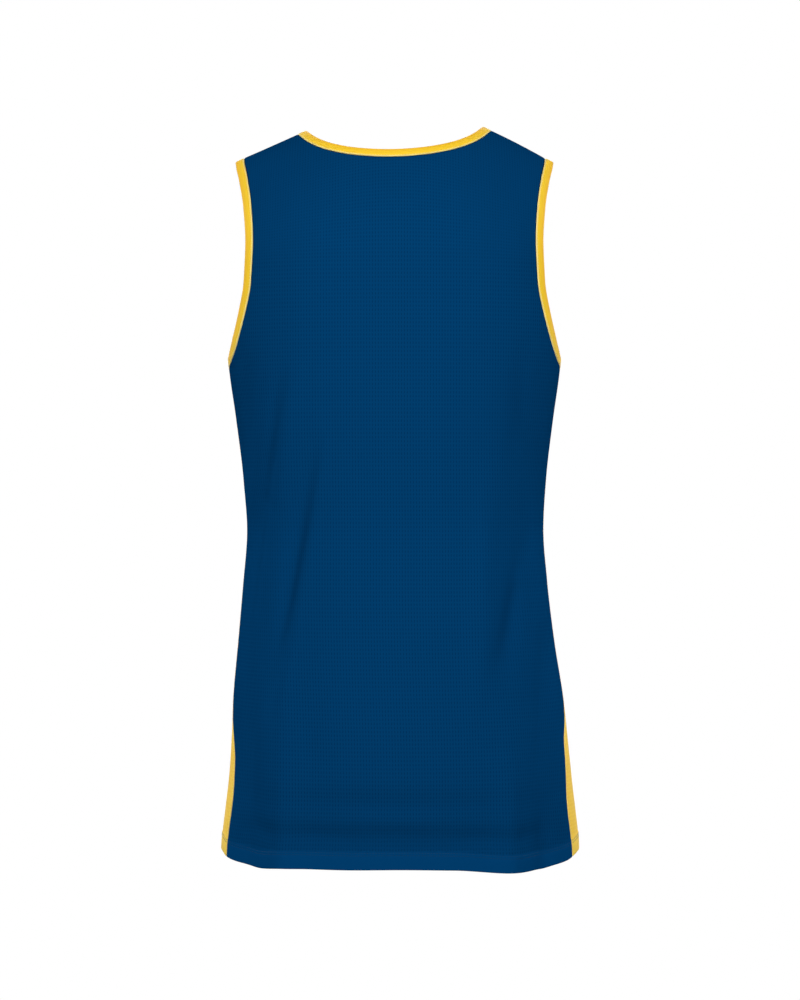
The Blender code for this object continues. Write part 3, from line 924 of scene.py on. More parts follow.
@dataclass(frozen=True)
class PolyesterKnit:
    """Warp-knitted polyester sports cloth, piece-dyed, with or without eyelets.

    To the eye it is dull and deep in colour. Columns of small upright eyelets, where the other layer
    lies in shade, leave fine paler ribs between them. Beside a seam the colour takes a thin line of painted
    shade on the navy and of painted highlight on the yellow. The real eyelets lie about 2 mm apart and
    the yarn is 0.2 mm thick, too fine to show here, so both are drawn as coarse as they need to show.

    Attributes:
        name: Name of the material.
        yarn: Colour of the cloth face.
        eyelet: Colour in the eyelets, as the two layers and the gap between mix to the eye.
        seam_shade_and_highlight: Colour painted within a millimetre or so of a sewn edge, as shade on the
            navy and as a highlight on the yellow.
        sheen: Colour of the light that the yarn throws back at grazing angles.
        eyelets: Depth of the eyelet pattern, 0 for a plain knit.
        wale_mm: Distance of the columns of eyelets.
        course_mm: Distance of the rows of eyelets.
        eyelet_mm: Width and height of an eyelet.
        yarn_mm: Size of the yarn's own unevenness.
        dye_mm: Size of the paler and darker clouds that piece dyeing leaves.
        dye_levels: How dark and how light they are.
        seam_reach_mm: Width of the painted line at a seam.
        seam_strength: How much of its colour the painted line takes.
        relief_mm: Depth of the eyelets.
        relief_strength: How strongly it shows.
        fuzz_share: Height of the yarn's unevenness as a share of that depth.
        gloss: Strength of the mirror-like part, tinted by the dye.
        roughness: How far it is spread.
    """

    name: str
    yarn: str
    eyelet: str
    seam_shade_and_highlight: str
    sheen: str
    eyelets: float = 0.7
    wale_mm: float = 2.9
    course_mm: float = 4.1
    eyelet_mm: tuple[float, float] = (1.1, 2.9)
    yarn_mm: float = 0.9
    dye_mm: float = 1000.0 / 9.0
    dye_levels: tuple[float, float] = (0.96, 1.04)
    seam_reach_mm: float = 1.5
    seam_strength: float = 0.85
    relief_mm: float = 0.1
    relief_strength: float = 0.15
    fuzz_share: float = 0.25
    gloss: float = 0.0
    roughness: float = 0.85

    def build(self) -> bpy.types.Material:
        """Makes the material.

        Returns:
            The material.
        """
        material, tree, shader = new_material(self.name)
        hole = self.eyelet_pattern(tree)
        where = add_node(tree, "ShaderNodeTexCoord").outputs["Object"]
        tree.links.new(self.colour(tree, hole, where), shader.inputs["Base Color"])
        tree.links.new(self.relief(tree, hole, where), shader.inputs["Normal"])
        shader.inputs["Roughness"].default_value = self.roughness
        shader.inputs["Specular IOR Level"].default_value = self.gloss
        shader.inputs["Specular Tint"].default_value = linear(self.sheen)
        return material

    def eyelet_pattern(self, tree: bpy.types.NodeTree) -> bpy.types.NodeSocket:
        """Lays out the columns of eyelets on the flat cloth.

        Args:
            tree: The material's node tree.

        Returns:
            A socket that is 0 on the ribs and rises to the pattern's depth inside an eyelet.
        """
        cut = add_node(tree, "ShaderNodeUVMap", {"uv_map": CUT_MAP})
        pitch = (1.0 / (self.wale_mm * MM), 1.0 / (self.course_mm * MM), 0.0)
        count = add_node(tree, "ShaderNodeVectorMath", {"operation": "MULTIPLY", 1: pitch},
                         {0: cut.outputs["UV"]})
        cell = add_node(tree, "ShaderNodeVectorMath", {"operation": "FRACTION"}, {0: count.outputs[0]})
        centred = add_node(tree, "ShaderNodeVectorMath", {"operation": "SUBTRACT", 1: (0.5, 0.5, 0.0)},
                           {0: cell.outputs[0]})
        width, height = self.eyelet_mm
        stretch = (2.0 * self.wale_mm / width, 2.0 * self.course_mm / height, 0.0)
        sized = add_node(tree, "ShaderNodeVectorMath", {"operation": "MULTIPLY", 1: stretch},
                         {0: centred.outputs[0]})
        away = add_node(tree, "ShaderNodeVectorMath", {"operation": "LENGTH"}, {0: sized.outputs[0]})
        hole = add_node(tree, "ShaderNodeMapRange",
                        {"interpolation_type": "SMOOTHSTEP", "From Min": 0.7, "From Max": 1.3,
                         "To Min": self.eyelets, "To Max": 0.0},
                        {"Value": away.outputs["Value"]})
        return hole.outputs["Result"]

    def colour(self, tree: bpy.types.NodeTree, hole: bpy.types.NodeSocket,
               where: bpy.types.NodeSocket) -> bpy.types.NodeSocket:
        """Mixes the colour of yarn, eyelets and dye, and paints the line of seam shade and highlight over
        it.

        Args:
            tree: The material's node tree.
            hole: The pattern of eyelets.
            where: Places on the piece, in metres.

        Returns:
            The socket with the colour.
        """
        dye = add_node(tree, "ShaderNodeTexNoise", {"Scale": 1.0 / (self.dye_mm * MM), "Detail": 2.0},
                       {"Vector": where})
        mesh = add_node(tree, "ShaderNodeMix",
                        {"data_type": "RGBA", 6: linear(self.yarn), 7: linear(self.eyelet)}, {0: hole})
        dark, light = self.dye_levels
        shade = add_node(tree, "ShaderNodeMapRange", {"To Min": dark, "To Max": light},
                         {"Value": dye.outputs["Fac"]})
        tinted = add_node(tree, "ShaderNodeMix", {"data_type": "RGBA", "blend_type": "MULTIPLY", 0: 1.0},
                          {6: mesh.outputs[2], 7: shade.outputs["Result"]})
        # Painted line beside the seams: painted shade on the navy, a painted highlight on the yellow
        seam = add_node(tree, "ShaderNodeAttribute", {"attribute_name": SEAM_LAYER})
        near = add_node(tree, "ShaderNodeMapRange",
                        {"interpolation_type": "SMOOTHSTEP", "From Min": 0.3,
                         "From Max": self.seam_reach_mm, "To Min": self.seam_strength, "To Max": 0.0},
                        {"Value": seam.outputs["Fac"]})
        sewn = add_node(tree, "ShaderNodeMix", {"data_type": "RGBA", 7: linear(self.seam_shade_and_highlight)},
                        {0: near.outputs["Result"], 6: tinted.outputs[2]})
        return sewn.outputs[2]

    def relief(self, tree: bpy.types.NodeTree, hole: bpy.types.NodeSocket,
               where: bpy.types.NodeSocket) -> bpy.types.NodeSocket:
        """Sinks the eyelets a little and roughens the yarn.

        Args:
            tree: The material's node tree.
            hole: The pattern of eyelets.
            where: Places on the piece, in metres.

        Returns:
            The socket with the normal.
        """
        fuzz = add_node(tree, "ShaderNodeTexNoise", {"Scale": 1.0 / (self.yarn_mm * MM), "Detail": 2.0},
                        {"Vector": where})
        raised = add_node(tree, "ShaderNodeMath", {"operation": "SUBTRACT", 0: 1.0}, {1: hole})
        height = add_node(tree, "ShaderNodeMath", {"operation": "MULTIPLY_ADD", 1: self.fuzz_share},
                          {0: fuzz.outputs["Fac"], 2: raised.outputs["Value"]})
        bump = add_node(tree, "ShaderNodeBump",
                        {"Strength": self.relief_strength, "Distance": self.relief_mm * MM},
                        {"Height": height.outputs["Value"]})
        return bump.outputs["Normal"]


@dataclass(frozen=True)
class ElasticBinding:
    """Ribbed elastic knit binding, folded over the edge and sewn down.

    To the eye it is smooth and closed, a little glossier than the mesh, with fine ribs across it, a
    painted highlight where it bends down to its seam and painted shade towards its fold, where it turns.
    Its ribs are drawn a little wider than the real ones, which would be too fine to show.

    Attributes:
        name: Name of the material.
        yarn: Colour of the strip.
        seam_shade_and_highlight: Colour of the painted highlight beside the seam.
        fold: Colour of the painted shade at the outer fold.
        rib_mm: Distance of the ribs along the strip.
        seam_reach_mm: Width of the painted highlight.
        width_mm: How far the strip reaches out from its seam.
        fold_from: Share of that width from which the painted shade sets in.
        relief_mm: Depth of the ribs.
        relief_strength: How strongly it shows.
        gloss: Strength of the mirror-like part, tinted like the seam's painted highlight.
        roughness: How far it is spread.
    """

    name: str
    yarn: str
    seam_shade_and_highlight: str
    fold: str
    rib_mm: float = 1.3
    seam_reach_mm: float = 1.2
    width_mm: float = 10.0
    fold_from: float = 0.4
    relief_mm: float = 0.12
    relief_strength: float = 0.35
    gloss: float = 0.25
    roughness: float = 0.55

    def build(self) -> bpy.types.Material:
        """Makes the material.

        Returns:
            The material.
        """
        material, tree, shader = new_material(self.name)
        cut = add_node(tree, "ShaderNodeUVMap", {"uv_map": CUT_MAP})
        bands_per_metre = 1.0 / (self.rib_mm * MM) * math.pi / 10.0     # the texture repeats every pi / 10
        rib = add_node(tree, "ShaderNodeTexWave",
                       {"wave_type": "BANDS", "bands_direction": "X", "Scale": bands_per_metre,
                        "Distortion": 0.4},
                       {"Vector": cut.outputs["UV"]})
        # Painted highlight beside the seam, and painted shade deepening towards the fold
        seam = add_node(tree, "ShaderNodeAttribute", {"attribute_name": SEAM_LAYER})
        near = add_node(tree, "ShaderNodeMapRange",
                        {"interpolation_type": "SMOOTHSTEP", "From Min": 0.5,
                         "From Max": self.seam_reach_mm, "To Min": 1.0, "To Max": 0.0},
                        {"Value": seam.outputs["Fac"]})
        outer = add_node(tree, "ShaderNodeMapRange",
                         {"From Min": self.width_mm * self.fold_from, "From Max": self.width_mm},
                         {"Value": seam.outputs["Fac"]})
        fold_shaded = add_node(tree, "ShaderNodeMix",
                          {"data_type": "RGBA", 6: linear(self.yarn), 7: linear(self.fold)},
                          {0: outer.outputs["Result"]})
        colour = add_node(tree, "ShaderNodeMix", {"data_type": "RGBA", 7: linear(self.seam_shade_and_highlight)},
                          {0: near.outputs["Result"], 6: fold_shaded.outputs[2]})
        tree.links.new(colour.outputs[2], shader.inputs["Base Color"])
        bump = add_node(tree, "ShaderNodeBump",
                        {"Strength": self.relief_strength, "Distance": self.relief_mm * MM},
                        {"Height": rib.outputs["Fac"]})
        tree.links.new(bump.outputs["Normal"], shader.inputs["Normal"])
        shader.inputs["Roughness"].default_value = self.roughness
        shader.inputs["Specular IOR Level"].default_value = self.gloss
        shader.inputs["Specular Tint"].default_value = linear(self.seam_shade_and_highlight)
        return material


@dataclass(frozen=True)
class SewingThread:
    """Spun polyester sewing thread: matt, twisted, with a soft edge to each stitch.

    The turns of its ply are drawn about twice as long as they are, so that they show.

    Attributes:
        name: Name of the material.
        colour: Colour of the thread.
        twist_mm: Length of one turn of the ply.
        gloss: Strength of the mirror-like part.
        roughness: How far it is spread.
    """

    name: str
    colour: str
    twist_mm: float = 0.8
    gloss: float = 0.3
    roughness: float = 0.7

    def build(self) -> bpy.types.Material:
        """Makes the material.

        Returns:
            The material.
        """
        material, tree, shader = new_material(self.name)
        where = add_node(tree, "ShaderNodeTexCoord")
        ply = add_node(tree, "ShaderNodeTexNoise", {"Scale": 1.0 / (self.twist_mm * MM), "Detail": 1.0},
                       {"Vector": where.outputs["Object"]})
        shade = add_node(tree, "ShaderNodeMapRange", {"To Min": 0.85, "To Max": 1.1},
                         {"Value": ply.outputs["Fac"]})
        colour = add_node(tree, "ShaderNodeMix",
                          {"data_type": "RGBA", "blend_type": "MULTIPLY", 0: 1.0, 6: linear(self.colour)},
                          {7: shade.outputs["Result"]})
        tree.links.new(colour.outputs[2], shader.inputs["Base Color"])
        shader.inputs["Roughness"].default_value = self.roughness
        shader.inputs["Specular IOR Level"].default_value = self.gloss
        return material


@dataclass(frozen=True)
class StudioFloor:
    """Matt white painted studio floor, even and without a pattern.

    It is washed with light of its own that doesn't reach the jersey, so it is seen and mirrored as pale
    as the surroundings.

    Attributes:
        name: Name of the material.
        colour: Colour of the paint.
        wash: How bright that light makes it.
        roller_mm: Grain that the paint roller leaves.
        roughness: How matt the paint is.
    """

    name: str = "studio_white_paint"
    colour: str = "#f4f4f2"
    wash: float = 0.74
    roller_mm: float = 1000.0 / 60.0
    roughness: float = 0.9

    def build(self) -> bpy.types.Material:
        """Makes the material.

        Returns:
            The material.
        """
        material, tree, shader = new_material(self.name)
        where = add_node(tree, "ShaderNodeTexCoord")
        roller = add_node(tree, "ShaderNodeTexNoise", {"Scale": 1.0 / (self.roller_mm * MM)},
                          {"Vector": where.outputs["Object"]})
        bump = add_node(tree, "ShaderNodeBump", {"Strength": 0.05, "Distance": 0.5 * MM},
                        {"Height": roller.outputs["Fac"]})
        tree.links.new(bump.outputs["Normal"], shader.inputs["Normal"])
        shader.inputs["Base Color"].default_value = linear(self.colour)
        shader.inputs["Roughness"].default_value = self.roughness
        shader.inputs["Emission Color"].default_value = linear(self.colour)
        wash = add_node(tree, "ShaderNodeMapRange", {"To Min": 0.0, "To Max": self.wash},
                        {"Value": seen_or_mirrored(tree)})
        tree.links.new(wash.outputs["Result"], shader.inputs["Emission Strength"])
        return material


NAVY = "#023e6e"
NAVY_EYELET = "#023156"
# Painted shade along the navy's seams
NAVY_SEAM_SHADE = "#011e3e"
# Hem yarn lighter than the navy knit's own: painted light that keeps the turned hem band bright low down
NAVY_HEM_PAINTED_LIGHT = "#024376"
YELLOW = "#ffd344"
YELLOW_EYELET = "#f2be2c"
# Painted highlight along the yellow's seams
YELLOW_SEAM_HIGHLIGHT = "#ffe480"
# Hem yarn lighter than the yellow knit's own: painted light on the turned hem band
YELLOW_HEM_PAINTED_LIGHT = "#ffd750"
YELLOW_SHEEN = "#ffec90"
BINDING = "#ffd232"
# Painted highlight beside the binding's seam
BINDING_SEAM_HIGHLIGHT = "#ffea90"
# Painted shade towards the binding's fold
BINDING_FOLD_SHADE = "#fbc024"
NAVY_THREAD = "#16314a"
# Real stitches, drawn paler than the yellow cloth so that they also lay a painted highlight along the seams
YELLOW_THREAD_HIGHLIGHT = "#ffe998"

KNIT_NAVY = PolyesterKnit("polyester_mesh_knit_navy", NAVY, NAVY_EYELET, NAVY_SEAM_SHADE, NAVY,
                          seam_reach_mm=2.1)
HEM_NAVY = PolyesterKnit("polyester_hem_knit_navy", NAVY_HEM_PAINTED_LIGHT, NAVY, NAVY_SEAM_SHADE, NAVY, eyelets=0.0)
KNIT_YELLOW = PolyesterKnit("polyester_mesh_knit_yellow", YELLOW, YELLOW_EYELET, YELLOW_SEAM_HIGHLIGHT, YELLOW_SHEEN,
                            gloss=0.25, roughness=0.6)
HEM_YELLOW = PolyesterKnit("polyester_hem_knit_yellow", YELLOW_HEM_PAINTED_LIGHT, YELLOW, YELLOW_SEAM_HIGHLIGHT, YELLOW_SHEEN,
                           eyelets=0.0, gloss=0.25, roughness=0.6)
BINDING_YELLOW = ElasticBinding("elastic_binding_yellow", BINDING, BINDING_SEAM_HIGHLIGHT, BINDING_FOLD_SHADE)
THREAD_NAVY = SewingThread("polyester_thread_navy", NAVY_THREAD)
THREAD_YELLOW = SewingThread("polyester_thread_yellow", YELLOW_THREAD_HIGHLIGHT)


@dataclass
class Wardrobe:
    """Materials, each made once.

    Attributes:
        made: Those made so far, by name.
    """

    made: dict[str, bpy.types.Material] = field(default_factory=dict)

    def take(self, finish: PolyesterKnit | ElasticBinding | SewingThread) -> bpy.types.Material:
        """The material of a finish, made at its first use.

        Args:
            finish: The finish.

        Returns:
            Its material.
        """
        if finish.name not in self.made:
            self.made[finish.name] = finish.build()
        return self.made[finish.name]


def dress(piece: bpy.types.Object, slot: str, *nodes: str) -> bpy.types.Object:
    """Fastens a piece to the jersey's body and says what it stands for.

    Args:
        piece: The finished piece.
        slot: The record's material slot; not used.
        *nodes: Solids that it replaces.

    Returns:
        The piece.
    """
    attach(piece, BODY)
    if nodes:
        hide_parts(*nodes)
    cells = len(piece.data.polygons)
    LOG.info("%s: %d cells, replaces %s", piece.name, cells, ", ".join(nodes) or "nothing")
    return piece


@dataclass(frozen=True)
class StitchRow:
    """A row of lockstitches: short arched lengths of thread that dip into the cloth at both ends.

    Attributes:
        pitch: From the start of a stitch to the start of the next, in mm.
        stitch: Length of thread that shows.
        radius: Half its thickness.
        lift: How far the middle of a stitch stands out of the cloth.
        sunk: How far its ends dip in.
        end_arch: Least arch that the thickness follows, so that the ends don't come to a point.
        sides: Cells round the thread.
        rings: Rings of points along a stitch.
    """

    pitch: float = 2.9
    stitch: float = 2.3
    radius: float = 0.2
    lift: float = 0.12
    sunk: float = 0.22
    end_arch: float = 0.3
    sides: int = 6
    rings: int = 5

    def add(self, book: MeshBook, line: Array, normals: Array) -> None:
        """Sews a row along a line.

        Args:
            book: The mesh that takes the stitches.
            line: Points on the cloth's face, in mm.
            normals: Outward normals there.
        """
        length = run_along(line)
        starts = np.arange(self.pitch / 2, length[-1] - self.stitch, self.pitch)
        share = np.linspace(0.0, 1.0, self.rings)
        at = starts[:, None] + share * self.stitch
        point = np.stack([np.interp(at, length, line[:, i]) for i in range(3)], axis=-1)
        normal = unit(np.stack([np.interp(at, length, normals[:, i]) for i in range(3)], axis=-1))
        arch = np.sin(share * math.pi)
        point = point + normal * ((self.lift + self.sunk) * arch - self.sunk)[None, :, None]
        along = unit(point[:, -1] - point[:, 0])[:, None, :]
        across = unit(np.cross(along, normal))
        radius = self.radius * np.maximum(arch, self.end_arch) ** 0.5
        turn = np.linspace(0.0, 2.0 * math.pi, self.sides, endpoint=False)
        ring = (across[:, :, None, :] * np.cos(turn)[None, None, :, None]
                + normal[:, :, None, :] * np.sin(turn)[None, None, :, None])
        points = point[:, :, None, :] + ring * radius[None, :, None, None]
        half = self.sides // 2
        for stitch in book.add_points(points):
            closed = np.concatenate([stitch, stitch[:, :1]], axis=1)
            book.add_cells(closed, np.zeros((*closed.shape, 2)), turned=True)
            for end, turned in ((stitch[0], False), (stitch[-1], True)):
                cap = np.stack([end[:half], end[half:][::-1]])
                book.add_cells(cap, np.zeros((*cap.shape, 2)), turned=turned)


@dataclass(frozen=True)
class ClothShell:
    """What the panels share: a thin closed shell with rolled seams and a turned hem, and its stitches.

    Attributes:
        form: The surface that the panel lies on.
        name: Name of the solid that it stands for.
        outside: Knit and hem finish of the outer face.
        inside: The same of the inner face.
        slot: The record's material slot.
        flat: Width and height of the flat cloth, in metres; not used.
        area: Its area, in square metres; not used.
        wall: Thickness of the cloth, in mm as all below.
        seam_gap: Distance from the neighbour's cloth.
        roll_depth: How far a sewn edge dips.
        roll_reach: Width over which it dips.
        edge_shares: Places of the close lines beside a sewn edge, in cells.
        hem_band: Height of the turned hem.
        hem_extra: How far the turned hem stands out on each face.
        hem_step: Height over which it does.
        hem_foot: Half the hem's thickness at its very edge.
        stitch_heights: Heights of the two rows of stitches.
        stitch_dent: How far the cloth is drawn in under them.
        stitch_spread: How far the dent spreads.
        thread_radius: Half the thickness of their thread.
        cell: Height of a cell.
    """

    form: JerseyForm
    name: str
    outside: tuple[PolyesterKnit, PolyesterKnit]
    inside: tuple[PolyesterKnit, PolyesterKnit]
    slot: str
    flat: tuple[float, float]
    area: float
    wall: float = 1.5
    seam_gap: float = 0.3
    roll_depth: float = 0.8
    roll_reach: float = 2.4
    edge_shares: tuple[float, ...] = (0.14, 0.32, 0.6)
    hem_band: float = 18.0
    hem_extra: float = 0.5
    hem_step: float = 1.3
    hem_foot: float = 0.12
    stitch_heights: tuple[float, float] = (14.5, 17.0)
    stitch_dent: float = 0.22
    stitch_spread: float = 0.55
    thread_radius: float = 0.2
    cell: float = 3.3

    def hem_heights(self) -> Array:
        """Heights of the close rows of the turned hem above its edge.

        Returns:
            The heights, rising, in mm.
        """
        fold = (0.0, 0.12, 0.4, 0.8, 1.25)
        band = (3.5, 6.0, 8.5, 11.0, 12.8)
        sewn = tuple(h + d for h in self.stitch_heights for d in (-0.8, 0.0, 0.8))
        return np.array(fold + band + sewn + (self.hem_band + 0.1, self.hem_band + self.hem_step))

    def rows_above_hem(self, height: float) -> Array:
        """Shares of a panel's height for all rows from the hem's edge to the underarm.

        Args:
            height: The panel's height up to the underarm, in mm.

        Returns:
            The shares, 0 to 1.
        """
        low = self.hem_heights()
        count = round((height - low[-1]) / self.cell)
        return np.concatenate([low, np.linspace(low[-1], height, count + 1)[1:]]) / height

    def refine(self, places: Places) -> Places:
        """Adds close lines of places along the sewn edges, where the cloth rolls in.

        Args:
            places: The panel's places, row by row from the hem up.

        Returns:
            More places.
        """
        near = np.array(self.edge_shares)
        far = -near[::-1]
        top, right = (size - 1 for size in places.angle.shape)
        columns = np.concatenate([[0.0], near, np.arange(1, right), right + far, [right]])
        rows = np.concatenate([np.arange(top), top + far, [top]])
        return Places(*(self.pick(self.pick(values, columns, 1), rows, 0) for values in places))

    @staticmethod
    def pick(values: Array, index: Array, axis: int) -> Array:
        """Values of a grid at real-number indices along one axis.

        Args:
            values: The grid.
            index: The indices.
            axis: The axis.

        Returns:
            The grid of values there.
        """
        low = np.clip(np.floor(index).astype(int), 0, values.shape[axis] - 2)
        share = index - low
        share = share[:, None] if axis == 0 else share[None, :]
        return np.take(values, low, axis) * (1 - share) + np.take(values, low + 1, axis) * share

    def seam_distance(self, points: Array) -> Array:
        """Distance of each point from the panel's nearest sewn edge, in mm.

        Args:
            points: The panel's points, row by row from the hem up.

        Returns:
            The distances.
        """
        from_left = run_along(points, 1)
        from_right = from_left[:, -1:] - from_left
        from_top = run_along(points[::-1])[::-1]
        return np.minimum(np.minimum(from_left, from_right), from_top)

    def above_hem(self, places: Places) -> Array:
        """Height of each place above the hem's edge, in mm."""
        return places.level - self.form.hem_level(places.angle)

    def hem_profile(self, height: Array) -> Array:
        """How far the turned hem stands out of the cloth's face at a height above its edge.

        Args:
            height: The heights, in mm.

        Returns:
            The distances, in mm.
        """
        radius = self.wall / 2 + self.hem_extra
        fold = radius - np.sqrt(np.clip(radius ** 2 - np.clip(radius - height, 0.0, None) ** 2, 0.0, None))
        step = np.clip((height - self.hem_band) / self.hem_step, 0.0, 1.0)
        dents = sum(np.exp(-((height - h) / self.stitch_spread) ** 2) for h in self.stitch_heights)
        fold = np.minimum(fold, radius - self.hem_foot)
        return self.hem_extra * (1.0 - step) - fold - self.stitch_dent * dents

    def shell(self, wardrobe: Wardrobe, places: Places) -> None:
        """Makes the shell and dresses it.

        Args:
            wardrobe: Where the materials come from.
            places: The panel's places, row by row from the hem up.
        """
        points = self.form.cloth(*places)
        normals = self.form.normals(self.form.cloth, places)
        distance = self.seam_distance(points)
        roll = self.roll_depth * np.clip(1.0 - distance / self.roll_reach, 0.0, None) ** 2
        height = self.above_hem(places)
        extra = self.hem_profile(height)
        points = self.inset(points, normals)
        outer = points + normals * (extra - roll)[..., None]
        inner = points - normals * (self.wall + extra)[..., None]
        cut = self.form.cut_map(places)
        hem_rows = (height[:-1, :-1] + height[1:, 1:]) / 2 < self.hem_band
        turned = bool(places.angle[0, 0] > places.angle[0, -1])
        book = MeshBook()
        out = book.add_points(outer, distance)
        back = book.add_points(inner, distance)
        finishes = np.where(hem_rows, Finish.HEM.value, Finish.KNIT.value)
        book.add_cells(out, cut, finishes, turned)
        finishes = np.where(hem_rows, Finish.INSIDE_HEM.value, Finish.INSIDE_KNIT.value)
        book.add_cells(back, cut, finishes, not turned)
        for edge in (np.s_[0, :], np.s_[:, -1], np.s_[-1, ::-1], np.s_[::-1, 0]):
            rim = np.stack([back[edge], out[edge]])
            book.add_cells(rim, np.stack([cut[edge], cut[edge]]), Finish.HEM.value, turned)
        materials = [wardrobe.take(finish) for finish in self.outside + self.inside]
        piece = dress(book.build(self.name + "_cloth", materials), self.slot, self.name)

    def inset(self, points: Array, normals: Array) -> Array:
        """Moves a panel's border, but for its foot, in by half a seam gap, with true corners.

        Args:
            points: The panel's points, row by row from the hem up.
            normals: Outward normals there.

        Returns:
            The moved points.
        """
        rows, columns = points.shape[:2]
        border = [(j, 0) for j in range(rows)]
        border += [(rows - 1, k) for k in range(1, columns)]
        border += [(j, columns - 1) for j in range(rows - 2, -1, -1)]
        index = tuple(np.array(border).T)
        line, across = points[index], normals[index]
        inward = unit(np.cross(np.diff(line, axis=0), across[1:] + across[:-1]))
        if np.sum(inward * (points.mean(axis=(0, 1)) - (line[1:] + line[:-1]) / 2)) < 0.0:
            inward = -inward
        before, after = np.concatenate([inward[:1], inward]), np.concatenate([inward, inward[-1:]])
        corner = (before + after) / (1.0 + np.sum(before * after, axis=1, keepdims=True))
        moved = points.copy()
        moved[index] += corner * self.seam_gap / 2
        return moved

    def hem_stitches(self, wardrobe: Wardrobe, places: Places) -> None:
        """Sews the two rows of the hem on a panel, joined in one piece.

        Args:
            wardrobe: Where the material comes from.
            places: The panel's places, row by row from the hem up.
        """
        book = MeshBook()
        low = self.hem_heights()
        for height in self.stitch_heights:
            row = int(np.argmin(np.abs(low - height)))
            line = places.part(row)
            normals = self.form.normals(self.form.cloth, line)
            face = self.form.cloth(*line) + normals * (self.hem_extra - self.stitch_dent)
            StitchRow(radius=self.thread_radius).add(book, face, normals)
        dress(book.build(self.name + "_hem_stitches", [wardrobe.take(THREAD_NAVY)]), self.slot)


@dataclass(frozen=True)
class BodyPanel(ClothShell):
    """The back or the front of the jersey, from the hem to the neck and the shoulder seams.

    Attributes:
        face: Which of the two.
        neck_cells: Cells along the neck seam.
        shoulder_cells: Cells along each shoulder seam.
    """

    face: Face = Face.BACK
    neck_cells: int = 84
    shoulder_cells: int = 17

    def tube_row(self, share: float, top: float) -> Places:
        """Places of one row between the side seams.

        Args:
            share: Share of the height from the hem to the underarm.
            top: Level of the underarm corners.

        Returns:
            The row, from the wearer's left seam to the right.
        """
        form = self.form
        left, right = ("back_left", "back_right") if self.face is Face.BACK else ("front", "front")
        start = form.seam_place(share, top, left, lambda angle: angle)
        end = float(mirror(form.seam_place(share, top, right, mirror)))
        angles = np.linspace(start, end, LINE_SAMPLES)
        hem = form.hem_level(angles)
        count = self.neck_cells + 2 * self.shoulder_cells
        return form.spread(Places(angles, hem + share * (top - hem)), np.linspace(0.0, 1.0, count + 1))

    def top_row(self) -> Places:
        """Places of the topmost row: shoulder seam, neck seam, shoulder seam.

        Returns:
            The row, from the wearer's left to the right.
        """
        form = self.form
        tip = float(form.at["half_width"](form.ridge_level) - form.armhole["inset_back"](form.ridge_level))
        level = np.full(self.shoulder_cells + 1, form.ridge_level)
        reach = np.linspace(tip, form.neck_half_width, self.shoulder_cells + 1)
        start = Places(form.angle_at_x(reach, level, self.face), level)
        end = Places(form.angle_at_x(-reach[::-1], level, self.face), level)
        neck = form.neck_line(self.face, np.linspace(0.0, 1.0, self.neck_cells + 1))
        return Places(*(np.concatenate([a[:-1], b, c[1:]]) for a, b, c in zip(start, neck, end)))

    def places(self) -> Places:
        """The whole panel's places, row by row from the hem up.

        Returns:
            The places.
        """
        form = self.form
        top = form.corner_level("back_left" if self.face is Face.BACK else "front")
        rows = [self.tube_row(share, top) for share in self.rows_above_hem(top - form.hem_side)]
        low, high = rows[-1], self.top_row()
        across = np.linspace(0.0, 1.0, len(low.angle))
        count = round((form.ridge_level - top) / self.cell)
        for share in np.linspace(0.0, 1.0, count + 1)[1:]:
            edge = float(form.armhole_angle(top + share * (form.ridge_level - top), self.face))
            angle = (1 - share) * low.angle + share * high.angle
            angle += (1 - across) * (edge - angle[0]) + across * (float(mirror(edge)) - angle[-1])
            rows.append(Places(angle, (1 - share) * low.level + share * high.level))
        return self.refine(Places.stacked(rows))

    def build(self, wardrobe: Wardrobe) -> None:
        """Makes the panel and its hem stitches.

        Args:
            wardrobe: Where the materials come from.
        """
        places = self.places()
        self.shell(wardrobe, places)
        self.hem_stitches(wardrobe, places)


